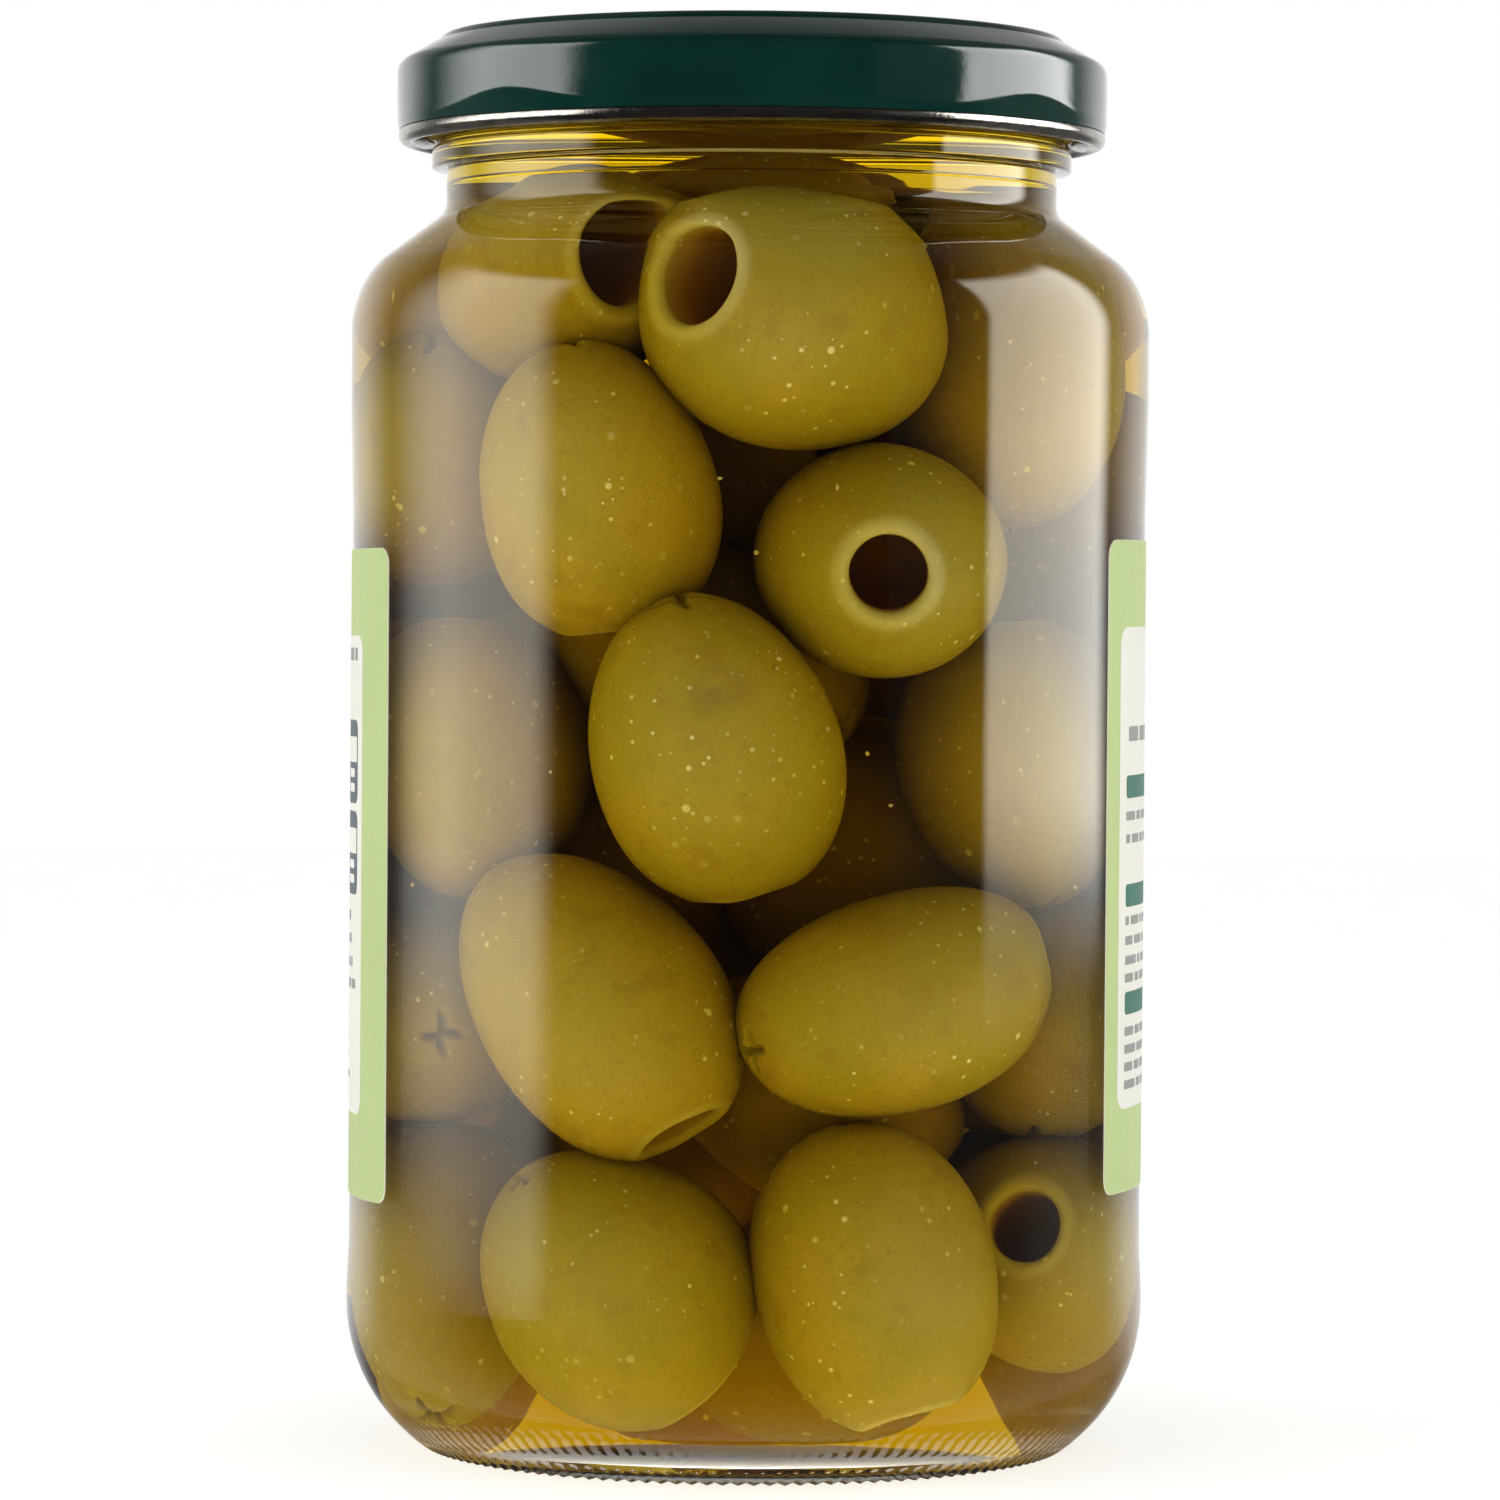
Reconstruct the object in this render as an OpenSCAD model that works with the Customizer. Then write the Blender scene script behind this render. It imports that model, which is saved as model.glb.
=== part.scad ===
// Twist-off glass jar of whole olives in brine, standing upright.
// Millimetres, +Z up. The origin is the middle of the ring that the jar stands on.
// The jar shows its contents towards -Y, between the two ends of the wrap label.

/* [Glass body] */
// Diameter of the straight panel that carries the label
panel_d = 81.6; // [78:0.1:86]
// How far the bands above and below the panel stand proud of it, on the radius
band_proud = 0.25; // [0.1:0.05:0.6]
// Thickness of the glass at the side wall
wall = 2.2; // [1.8:0.1:2.6]
// Outside radius of the shoulder's bulge
shoulder_r = 10.5; // [8:0.5:12]
// Slope of the cone between shoulder and neck, away from upright, in degrees
shoulder_slope = 57; // [45:1:65]
// Height of the shoulder's widest point above the base
shoulder_z = 114.4; // [112:0.1:115]
// Radius of the hollow where the shoulder runs into the neck
fillet_r = 4; // [3:0.5:5]
// Radius of the rounded heel
heel_r = 18; // [16:1:20]
// Height of the heel's widest point above the base
heel_z = 15; // [14:0.5:16]

/* [Base] */
// Inner radius of the ring that the jar stands on
bearing_ri = 29.6; // [27:0.1:31]
// Height of the domed middle of the base above the table
push_up = 2.2; // [1.5:0.1:3.5]
// Thickness of the glass floor
floor_t = 3.2; // [2.8:0.1:4]
// Radius of the hollow inside the heel
inner_heel_r = 11; // [9:0.5:12]

/* [Finish] */
// Outer diameter of the neck
neck_d = 62.8; // [61:0.1:64]
// Outer diameter of the bead under the lid
bead_d = 65.8; // [65:0.1:66.4]
// Height of the bead's lower edge above the base
bead_z = 131.1; // [130.5:0.1:131.4]
// Outer diameter of the glass inside the lid
finish_d = 64.4; // [63.6:0.1:64.8]
// Number of threads on the glass, and of lugs on the lid
lug_count = 4; // [3:1:6]
// Reach of each thread round the glass, in degrees
thread_span = 56; // [40:1:56]
// Slope of a thread, in degrees
thread_slope = 4.4; // [3:0.2:5]

/* [Lid] */
// Outer diameter of the lid's skirt
lid_d = 73; // [72.6:0.1:74]
// Height of the whole closed jar
total_h = 144.8; // [144.6:0.1:145.6]
// Thickness of the lid's steel
sheet = 0.25; // [0.2:0.05:0.3]
// Radius of the curl along the skirt's lower edge
curl_r = 0.95; // [0.8:0.05:1]
// Depth of the flat panel inside the raised ring
panel_depth = 0.8; // [0.5:0.1:1]
// Reach of each lug round the lid, in degrees
lug_span = 26; // [16:1:30]

/* [Label] */
// Height of the label
label_h = 65.9; // [60:0.1:67]
// Height of the label's lower edge above the base
label_z = 26.8; // [25:0.1:28]
// Thickness of the label
label_t = 0.1; // [0.08:0.01:0.2]
// Gap between the label's two ends, in degrees round the jar
label_gap = 124; // [90:1:180]
// Tilt of the label against the jar, in degrees
label_tilt = 1.05; // [0:0.05:1.5]
// Radius of the label's corners
label_corner = 1.7; // [1:0.1:4]

/* [Contents] */
// Height of the brine's surface above the base
fill_z = 134.2; // [133:0.1:138]

/* [Hidden] */
$fn = 96;

arc_steps = 12;
panel_r = panel_d / 2;
band_r = panel_r + band_proud;
inner_r = panel_r - wall;
neck_r = neck_d / 2;
bead_r = bead_d / 2;
finish_r = finish_d / 2;

// Centres of the shoulder's bulge and of the hollow above it. The cone between them
// touches both arcs, which settles how high the hollow lies.
shoulder_x = band_r - shoulder_r;
fillet_x = neck_r + fillet_r;
cone_run = fillet_x - fillet_r * cos(shoulder_slope) - shoulder_x - shoulder_r * cos(shoulder_slope);
fillet_z = shoulder_z + (shoulder_r + fillet_r) * sin(shoulder_slope) - cone_run / tan(shoulder_slope);

// Underside and outside of the heel
heel_x = band_r - heel_r;
heel_start = -asin(heel_z / heel_r);

// The panel runs into the bands above and below it over these heights
lower_band = [heel_z + 1.5, heel_z + 6];
upper_band = [96, 107];

// Glass finish: the bead, the step above it, and the rounded rim
bead_rise = 1;
bead_slope_h = 1.5;
step_h = 0.4;
mouth_r = neck_r - wall;
rim_r = (finish_r - mouth_r) / 2;
rim_z = total_h - sheet - rim_r;

// Threads and lugs: middle heights, depths and half thicknesses
thread_z = 137.6;
thread_out = 1.5;
thread_half = 1;
lug_in = 2.6;
lug_z = 134.2;
lug_nose = 0.6;
first_lug = -92;
first_thread = -70;

// Lid: skirt, the corner above it, the sloping shoulder and the raised ring
skirt_r = lid_d / 2;
curl_x = skirt_r + 0.1 - curl_r;
curl_z = 134.55;
ring_ro = 32;
ring_ri = 28;
ring_step = 0.75;
corner_r = 1.6;
corner_slope = 62;
button_r = 11;
button_depth = 0.5;

// Points of an arc about [x, z], from angle a0 to a1
function arc(x, z, r, a0, a1, n = arc_steps) =
    [for (i = [0:n]) let (a = a0 + (a1 - a0) * i / n) [x + r * cos(a), z + r * sin(a)]];

// Points of a shallow dome, from its middle out to radius r
function dome(r, z, rise, n = 8) =
    [for (i = [0:n]) let (t = i / n) [r * t, z + rise * (1 - pow(t, 4))]];

function reversed(p) = [for (i = [len(p) - 1:-1:0]) p[i]];

// A polyline moved sideways by t, to its right as it runs
function beside(p, t) =
    [for (i = [0:len(p) - 1])
        let (d = p[min(i + 1, len(p) - 1)] - p[max(i - 1, 0)])
        p[i] + t * [d[1], -d[0]] / norm(d)];

// Outside of the glass, from the axis under the base up to the top of the rim
function glass_outside() = concat(
    dome(bearing_ri, 0, push_up),
    arc(heel_x, heel_z, heel_r, heel_start, 0),
    [[band_r, lower_band[0]], [panel_r, lower_band[1]],
     [panel_r, upper_band[0]], [band_r, upper_band[1]]],
    arc(shoulder_x, shoulder_z, shoulder_r, 0, shoulder_slope),
    arc(fillet_x, fillet_z, fillet_r, 180 + shoulder_slope, 180, 8),
    [[neck_r, bead_z - bead_slope_h], [bead_r - 0.2, bead_z],
     [bead_r, bead_z + 0.2], [bead_r, bead_z + bead_rise],
     [finish_r, bead_z + bead_rise + step_h]],
    arc(finish_r - rim_r, rim_z, rim_r, 0, 90, 6));

// Inside of the glass, from the middle of the floor up to the fillet under the mouth
function glass_inside() = concat(
    dome(inner_r - inner_heel_r, floor_t, push_up),
    arc(inner_r - inner_heel_r, floor_t + inner_heel_r, inner_heel_r, -82.5, 0),
    arc(shoulder_x, shoulder_z, inner_r - shoulder_x, 0, shoulder_slope),
    arc(fillet_x, fillet_z, fillet_r + wall, 180 + shoulder_slope, 180, 8));

// Upper face of the lid, from the button in its middle out and down the skirt
function lid_face() =
    let (flat_z = total_h - panel_depth, slope_z = total_h - ring_step)
    concat(
        [for (i = [0:8]) [button_r * i / 8, flat_z - button_depth * (1 + cos(22.5 * i)) / 2]],
        [[ring_ri - 0.8, flat_z], [ring_ri, total_h - 0.15], [ring_ri + 0.5, total_h],
         [ring_ro - 0.5, total_h], [ring_ro, total_h - 0.2], [ring_ro + 0.3, slope_z]],
        arc(skirt_r - corner_r, total_h - 3.9, corner_r, corner_slope, 0, 8),
        [[skirt_r, curl_z + 0.6]]);

module thread() {
    rotate([thread_slope, 0, 0]) rotate([0, 0, -thread_span / 2])
        rotate_extrude(angle = thread_span)
            translate([finish_r, 0])
                polygon([[-0.4, -thread_half], [thread_out - 0.4, -0.4], [thread_out, 0],
                         [thread_out - 0.4, 0.4], [-0.4, thread_half]]);
}

module jar() {
    color([0.86, 0.93, 0.9, 0.35]) {
        rotate_extrude()
            polygon(concat(glass_outside(),
                arc(finish_r - rim_r, rim_z, rim_r, 105, 180, 5),
                reversed(glass_inside())));
        for (i = [0:lug_count - 1])
            rotate([0, 0, first_thread + i * 360 / lug_count])
                translate([0, 0, thread_z]) thread();
    }
}

module lid_lug() {
    rotate([0, 0, -lug_span / 2]) rotate_extrude(angle = lug_span) {
        translate([curl_x - lug_in + lug_nose, lug_z]) circle(r = lug_nose, $fn = 32);
        translate([curl_x - lug_in + lug_nose, lug_z - lug_nose])
            square([lug_in - lug_nose, 2 * lug_nose]);
    }
}

module lid() {
    color([0.08, 0.2, 0.17]) {
        rotate_extrude() {
            polygon(concat(lid_face(), reversed(beside(lid_face(), sheet))));
            translate([curl_x, curl_z]) circle(r = curl_r, $fn = 32);
        }
        for (i = [0:lug_count - 1])
            rotate([0, 0, first_lug + i * 360 / lug_count]) lid_lug();
    }
}

// What is cut from a label's corner to round it, pointing outwards from the jar
module corner_cutter() {
    reach = 4;
    rotate([0, 90, 0])
        linear_extrude(height = reach, center = true)
            difference() {
                translate([-1, -1]) square(label_corner + 1);
                translate([label_corner, label_corner]) circle(r = label_corner, $fn = 32);
            }
}

// The label lies round the back of the jar. Its long edges are tilted against the jar
// and its ends are upright, so each corner sits a little higher or lower than its twin.
module label() {
    half_gap = label_gap / 2;
    tilt_room = 6;
    end_rise = panel_r * sin(half_gap) * tan(label_tilt);
    color([0.76, 0.85, 0.58])
        difference() {
            intersection() {
                rotate([0, 0, half_gap - 90])
                    rotate_extrude(angle = 360 - label_gap)
                        translate([panel_r, label_z - tilt_room])
                            square([label_t, label_h + 2 * tilt_room]);
                translate([0, 0, label_z + label_h / 2]) rotate([0, -label_tilt, 0])
                    cube([2 * panel_d, 2 * panel_d, label_h], center = true);
            }
            for (side = [-1, 1], top = [0, 1])
                rotate([0, 0, side * half_gap - 90])
                    translate([panel_r, 0, label_z + top * label_h + side * end_rise])
                        mirror([0, side > 0 ? 0 : 1, 0]) mirror([0, 0, 1 - top]) corner_cutter();
        }
}

module brine() {
    color([0.62, 0.55, 0.16, 0.8])
        rotate_extrude()
            polygon(concat(glass_inside(), [[mouth_r, fill_z], [0, fill_z]]));
}

jar();
lid();
label();
brine();
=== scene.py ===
"""Looks of a closed twist-off glass jar of pitted green olives in brine.

Lengths inside the classes are millimetres and angles are degrees, as in the jar's drawing,
but the studio's camera and soft boxes are placed in metres. A mesh becomes metres when its
object is made. Angles round the jar are counted from the front, which faces -Y, and grow
towards +X.
"""

import logging
import math
from collections.abc import Callable
from dataclasses import dataclass, field
from enum import Enum

import bpy
import numpy as np
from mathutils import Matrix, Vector

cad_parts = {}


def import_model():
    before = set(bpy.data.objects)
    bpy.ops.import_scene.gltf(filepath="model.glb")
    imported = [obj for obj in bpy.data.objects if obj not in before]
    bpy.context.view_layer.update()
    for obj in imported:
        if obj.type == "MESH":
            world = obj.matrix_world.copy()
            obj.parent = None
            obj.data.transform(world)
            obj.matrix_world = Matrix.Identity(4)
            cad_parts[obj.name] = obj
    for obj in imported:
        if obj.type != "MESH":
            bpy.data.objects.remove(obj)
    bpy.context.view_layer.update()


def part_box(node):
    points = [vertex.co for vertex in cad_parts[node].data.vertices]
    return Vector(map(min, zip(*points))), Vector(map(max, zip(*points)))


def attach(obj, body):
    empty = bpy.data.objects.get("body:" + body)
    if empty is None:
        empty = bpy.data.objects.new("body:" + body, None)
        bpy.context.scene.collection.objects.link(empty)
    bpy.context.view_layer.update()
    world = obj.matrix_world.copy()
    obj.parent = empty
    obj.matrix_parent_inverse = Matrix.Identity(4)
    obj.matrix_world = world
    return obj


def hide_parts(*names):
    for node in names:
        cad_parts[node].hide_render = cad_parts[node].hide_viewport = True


LOG = logging.getLogger("olive_jar")
MM = 0.001
ON_AXIS = 1e-6
BODY = "root"
Point = tuple[float, float]
Colour = tuple[float, float, float]
Carve = Callable[[np.ndarray, np.ndarray, np.ndarray], tuple[np.ndarray, np.ndarray]]


# ---------------------------------------------------------------- outlines and shapes


def arc(x: float, z: float, radius: float, start: float, end: float, steps: int = 16) -> list[Point]:
    """Points of an arc, from one angle to another.

    Args:
        x: Distance of the arc's centre from the axis.
        z: Height of the arc's centre.
        radius: The arc's radius.
        start: First angle.
        end: Last angle.
        steps: Number of stretches.

    Returns:
        steps + 1 points.
    """
    angles = [math.radians(start + (end - start) * i / steps) for i in range(steps + 1)]
    return [(x + radius * math.cos(a), z + radius * math.sin(a)) for a in angles]


def dome(radius: float, z: float, rise: float, steps: int = 14) -> list[Point]:
    """Points of a shallow dome, from its middle out to its edge.

    Args:
        radius: Radius of the dome's edge.
        z: Height of the edge.
        rise: Height of the middle above the edge.
        steps: Number of stretches.

    Returns:
        steps + 1 points.
    """
    shares = [i / steps for i in range(steps + 1)]
    return [(radius * t, z + rise * (1 - t**4)) for t in shares]


def filled(points: list[Point], longest: float) -> list[Point]:
    """The same outline with points added, so that no stretch is longer than a limit.

    Args:
        points: The outline.
        longest: Longest stretch that may stay.

    Returns:
        The finer outline.
    """
    fine = [points[0]]
    for a, b in zip(points, points[1:]):
        parts = max(1, math.ceil(math.dist(a, b) / longest))
        for i in range(1, parts + 1):
            fine.append((a[0] + (b[0] - a[0]) * i / parts, a[1] + (b[1] - a[1]) * i / parts))
    return fine


def beside(points: list[Point], gap: float) -> list[Point]:
    """The outline moved sideways, to its right as it runs.

    Args:
        points: The outline.
        gap: How far it moves.

    Returns:
        One moved point for each point.
    """
    moved = []
    for i, (x, z) in enumerate(points):
        before, after = points[max(i - 1, 0)], points[min(i + 1, len(points) - 1)]
        run, rise = after[0] - before[0], after[1] - before[1]
        size = math.hypot(run, rise)
        moved.append((x + gap * rise / size, z - gap * run / size))
    return moved


def smooth(value: np.ndarray, low: float, high: float) -> np.ndarray:
    """A soft step.

    Args:
        value: What is stepped.
        low: Where the step starts, with a result of 0.
        high: Where it ends, with a result of 1. It may lie under low.

    Returns:
        Shares from 0 to 1.
    """
    t = np.clip((value - low) / (high - low), 0.0, 1.0)
    return t * t * (3 - 2 * t)


def from_front(azimuth: float) -> float:
    """The plan angle in radians, from +X, of an angle round the jar from its front."""
    return math.radians(azimuth - 90)


def turned_from(angles: np.ndarray, middle: float) -> np.ndarray:
    """Angles counted from another one, the short way round, all in radians."""
    return (angles - middle + math.pi) % (2 * math.pi) - math.pi


def waves(rng: np.random.Generator, aim: np.ndarray, count: int, pitch: float) -> np.ndarray:
    """Smooth uneven values over all directions.

    Args:
        rng: Where the waves come from.
        aim: Directions, one a row.
        count: Number of waves.
        pitch: How many humps lie across the body.

    Returns:
        One value for each direction, about -1 to 1.
    """
    ways = rng.normal(size=(count, 3)) * pitch
    shifts = rng.uniform(0, 2 * math.pi, count)
    return np.sin(aim @ ways.T + shifts).sum(1) / math.sqrt(count) * 0.7


@dataclass
class Shape:
    """Corners and faces of a mesh, in millimetres, with values that its finish reads."""

    corners: np.ndarray
    faces: list[tuple[int, ...]]
    values: dict[str, np.ndarray] = field(default_factory=dict)
    coats: list[int] = field(default_factory=list)

    def place(self, turn: np.ndarray, at: np.ndarray) -> "Shape":
        """Turn the corners by a 3 x 3 matrix and move them.

        Args:
            turn: The matrix.
            at: Where the shape's origin goes.

        Returns:
            The shape itself.
        """
        self.corners = self.corners @ turn.T + at
        return self

    @staticmethod
    def joined(shapes: list["Shape"]) -> "Shape":
        """One shape out of several that hold the same values.

        Args:
            shapes: The shapes.

        Returns:
            All of them as one.
        """
        faces: list[tuple[int, ...]] = []
        start = 0
        for shape in shapes:
            faces += [tuple(start + i for i in face) for face in shape.faces]
            start += len(shape.corners)
        names = shapes[0].values
        return Shape(
            np.concatenate([s.corners for s in shapes]),
            faces,
            {name: np.concatenate([s.values[name] for s in shapes]) for name in names},
            [coat for s in shapes for coat in s.coats],
        )

    def piece(self, name: str, finishes: list[bpy.types.Material], crease: float = 35.0) -> bpy.types.Object:
        """Make the object of this shape, in metres and smooth but for its creases.

        Args:
            name: The object's name.
            finishes: Its materials, in the order that coats counts them.
            crease: Edges that bend more than this stay sharp.

        Returns:
            The object, in the scene.
        """
        mesh = bpy.data.meshes.new(name)
        mesh.from_pydata((self.corners * MM).tolist(), [], self.faces)
        for finish in finishes:
            mesh.materials.append(finish)
        if self.coats:
            mesh.polygons.foreach_set("material_index", self.coats)
        for key, value in self.values.items():
            mesh.attributes.new(key, "FLOAT", "POINT").data.foreach_set("value", value.astype(np.float32))
        mesh.shade_smooth()
        mesh.set_sharp_from_angle(angle=math.radians(crease))
        mesh.update()
        thing = bpy.data.objects.new(name, mesh)
        bpy.context.scene.collection.objects.link(thing)
        return thing


def revolved(outline: list[Point], segments: int, carve: Carve | None = None, loop: bool = False) -> Shape:
    """Turn an outline round the Z axis. A point on the axis becomes one corner.

    Args:
        outline: Points (distance from the axis, height), with the outside to the right.
        segments: Steps round the axis.
        carve: Changes radii and heights, each an array of rings by segments, given the plan angles.
        loop: Whether the last point joins the first.

    Returns:
        The shape.
    """
    angles = np.linspace(0, 2 * math.pi, segments, endpoint=False)
    radii = np.repeat(np.array([p[0] for p in outline])[:, None], segments, 1)
    heights = np.repeat(np.array([p[1] for p in outline])[:, None], segments, 1)
    if carve:
        radii, heights = carve(radii, heights, angles[None, :])
    corners: list[np.ndarray] = []
    rings: list[list[int]] = []
    for i, (x, _) in enumerate(outline):
        start = len(corners)
        if x < ON_AXIS:
            corners.append(np.array([0.0, 0.0, heights[i, 0]]))
            rings.append([start] * segments)
        else:
            flat = radii[i] * np.cos(angles), radii[i] * np.sin(angles), heights[i]
            corners.extend(np.stack(flat, 1))
            rings.append(list(range(start, start + segments)))
    faces = []
    pairs = list(zip(rings, rings[1:])) + ([(rings[-1], rings[0])] if loop else [])
    for low, high in pairs:
        for j in range(segments):
            k = (j + 1) % segments
            face = dict.fromkeys((low[j], low[k], high[k], high[j]))
            if len(face) > 2:
                faces.append(tuple(face))
    return Shape(np.array(corners), faces)


# ---------------------------------------------------------------- finishes


class Tree:
    """Short ways to lay the nodes of one material or world."""

    def __init__(self, owner: bpy.types.Material | bpy.types.World) -> None:
        """Clear the owner's nodes.

        Args:
            owner: The material or world.
        """
        owner.use_nodes = True
        self.tree = owner.node_tree
        self.tree.nodes.clear()

    def add(self, kind: str, settings: dict | None = None, **inputs: object) -> bpy.types.Node:
        """Add one node.

        Args:
            kind: The node's type.
            settings: Its properties.
            **inputs: Its inputs by name, with _ for a space: a socket is linked, a value is set.

        Returns:
            The node.
        """
        node = self.tree.nodes.new(kind)
        for name, value in (settings or {}).items():
            setattr(node, name, value)
        for name, value in inputs.items():
            self.feed(node.inputs[name.replace("_", " ")], value)
        return node

    def feed(self, socket: bpy.types.NodeSocket, value: object) -> None:
        """Link a socket to an input, or set the input's value.

        Args:
            socket: The input.
            value: Another node's output, a number, a vector or a colour.
        """
        if isinstance(value, bpy.types.NodeSocket):
            self.tree.links.new(value, socket)
        elif socket.type == "RGBA":
            socket.default_value = (*value, 1.0)
        else:
            socket.default_value = value

    def math(self, kind: str, a: object, b: object = 0.0) -> bpy.types.NodeSocket:
        """The result of a Math node.

        Args:
            kind: Its operation.
            a: First value or socket.
            b: Second value or socket.

        Returns:
            The output socket.
        """
        node = self.add("ShaderNodeMath", {"operation": kind})
        self.feed(node.inputs[0], a)
        self.feed(node.inputs[1], b)
        return node.outputs[0]

    def step(self, value: object, low: float, high: float, to: Point = (0.0, 1.0)) -> bpy.types.NodeSocket:
        """A soft step from one value to another.

        Args:
            value: The socket that is stepped.
            low: Where the step starts.
            high: Where it ends.
            to: Results at its start and end.

        Returns:
            The output socket.
        """
        node = self.add("ShaderNodeMapRange", {"interpolation_type": "SMOOTHSTEP"}, Value=value)
        turned = low > high
        ends = (high, low, to[1], to[0]) if turned else (low, high, to[0], to[1])
        for socket, number in zip(node.inputs[1:5], ends):
            socket.default_value = number
        return node.outputs[0]

    def mix(self, share: object, a: object, b: object) -> bpy.types.NodeSocket:
        """A colour between two.

        Args:
            share: 0 gives a, and 1 gives b.
            a: First colour.
            b: Second colour.

        Returns:
            The output socket.
        """
        node = self.add("ShaderNodeMix", {"data_type": "RGBA"})
        self.feed(node.inputs[0], share)
        self.feed(node.inputs[6], a)
        self.feed(node.inputs[7], b)
        return node.outputs[2]

    def place(self) -> bpy.types.NodeSocket:
        """The surface's place on its object, in metres."""
        return self.add("ShaderNodeTexCoord").outputs["Object"]

    def blend(self, share: object, a: object, b: object) -> bpy.types.NodeSocket:
        """A number between two.

        Args:
            share: 0 gives a, and 1 gives b.
            a: First number.
            b: Second number.

        Returns:
            The output socket.
        """
        node = self.add("ShaderNodeMix", {"data_type": "FLOAT"})
        for socket, value in zip(node.inputs[0:1] + node.inputs[2:4], (share, a, b)):
            self.feed(socket, value)
        return node.outputs[0]

    def noise(
        self, size: float, detail: float = 2.0, stretch: Colour = (1.0, 1.0, 1.0)
    ) -> bpy.types.NodeSocket:
        """Soft noise fixed to the object.

        Args:
            size: Width of its blotches, in millimetres.
            detail: Number of finer layers.
            stretch: How much wider they are along X, Y and Z.

        Returns:
            The output socket, about 0.5 in the mean.
        """
        scale = tuple(1 / s for s in stretch)
        where = self.add("ShaderNodeMapping", {"vector_type": "POINT"}, Vector=self.place(), Scale=scale)
        place, fineness = where.outputs[0], 1 / (size * MM)
        texture = self.add("ShaderNodeTexNoise", Vector=place, Scale=fineness, Detail=detail)
        return texture.outputs["Fac"]

    def dots(self, spacing: float, radius: float, kept: float) -> bpy.types.NodeSocket:
        """Small round dots scattered over the surface.

        Args:
            spacing: Distance between the places where a dot may be, in millimetres.
            radius: Radius of the largest dots, in millimetres.
            kept: Share of the places that hold a dot.

        Returns:
            A socket that is 1 on a dot and 0 elsewhere.
        """
        cells = self.add("ShaderNodeTexVoronoi", Vector=self.place(), Scale=1 / (spacing * MM))
        pick = self.add("ShaderNodeSeparateColor", Color=cells.outputs["Color"])
        here = self.step(pick.outputs[0], 1 - kept, 1 - kept + 0.02)
        size = self.math("MULTIPLY", pick.outputs[1], radius / spacing)
        edge = self.math("DIVIDE", cells.outputs["Distance"], self.math("ADD", size, 0.02))
        return self.math("MULTIPLY", here, self.step(edge, 1.0, 0.55))

    def bump(self, height: object, depth: float, strength: float = 1.0) -> bpy.types.NodeSocket:
        """A surface normal from a height.

        Args:
            height: The height's socket.
            depth: Depth of a full step, in millimetres.
            strength: Share of it that shows.

        Returns:
            The normal socket.
        """
        node = self.add("ShaderNodeBump", Height=height, Distance=depth * MM, Strength=strength)
        return node.outputs[0]

    def principled(self, **inputs: object) -> bpy.types.NodeSocket:
        """A Principled shader with these inputs, named as in add."""
        return self.add("ShaderNodeBsdfPrincipled", None, **inputs).outputs[0]

    def show(self, surface: bpy.types.NodeSocket, volume: bpy.types.NodeSocket | None = None) -> None:
        """Send shaders to the output.

        Args:
            surface: The surface's shader.
            volume: The inside's shader.
        """
        out = self.add("ShaderNodeOutputMaterial", Surface=surface)
        if volume:
            self.feed(out.inputs["Volume"], volume)

    def show_clear(
        self, surface: bpy.types.NodeSocket, tint: Colour, volume: bpy.types.NodeSocket | None = None
    ) -> None:
        """Send a clear shader to the output, and let lamplight straight through it.

        Args:
            surface: The shader that is seen.
            tint: What the light that goes through keeps.
            volume: The inside's shader.
        """
        path = self.add("ShaderNodeLightPath")
        lamp = self.math("MAXIMUM", path.outputs["Is Shadow Ray"], path.outputs["Is Diffuse Ray"])
        through = self.add("ShaderNodeBsdfTransparent", Color=tint)
        both = self.add("ShaderNodeMixShader")
        self.feed(both.inputs[0], lamp)
        self.feed(both.inputs[1], surface)
        self.feed(both.inputs[2], through.outputs[0])
        self.show(both.outputs[0], volume)


def fresh(name: str) -> tuple[bpy.types.Material, Tree]:
    """A new material and its cleared tree.

    Args:
        name: The material's name.

    Returns:
        Both.
    """
    material = bpy.data.materials.new(name)
    return material, Tree(material)


@dataclass(frozen=True)
class FlintGlass:
    """Clear jar glass with the slight waves that pressing leaves."""

    ior: float = 1.5
    tint: Colour = (0.99, 1.0, 0.985)
    # Warm tint of the dry glass's reflections: painted warm light, not a colour of the glass.
    sheen: Colour = (1.0, 0.95, 0.80)
    waves: float = 0.014

    def material(self, name: str, wetted: bool) -> bpy.types.Material:
        """Make the material.

        Args:
            name: Its name.
            wetted: Whether brine lies against this face, which then reflects next to nothing.

        Returns:
            The material.
        """
        material, tree = fresh(name)
        rolls = tree.noise(7.0, 1.0, (1.0, 1.0, 3.0))
        ripples = tree.noise(1.1, 2.0, (1.0, 1.0, 1.6))
        height = tree.math("ADD", rolls, tree.math("MULTIPLY", ripples, 0.06))
        up = tree.add("ShaderNodeSeparateXYZ", Vector=tree.place()).outputs[2]
        height = tree.math("MULTIPLY", height, tree.step(up, 0.125, 0.110, (0.12, 1.0)))
        clear = tree.principled(
            Base_Color=self.tint,
            Roughness=0.0,
            IOR=self.ior,
            Transmission_Weight=1.0,
            # Dry faces give their reflections the painted warm tint of the light; wetted faces reflect next
            # to nothing.
            Specular_Tint=(0.0, 0.0, 0.0) if wetted else self.sheen,
            Normal=tree.bump(height, self.waves),
        )
        tree.show_clear(clear, self.tint)
        return material


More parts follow.
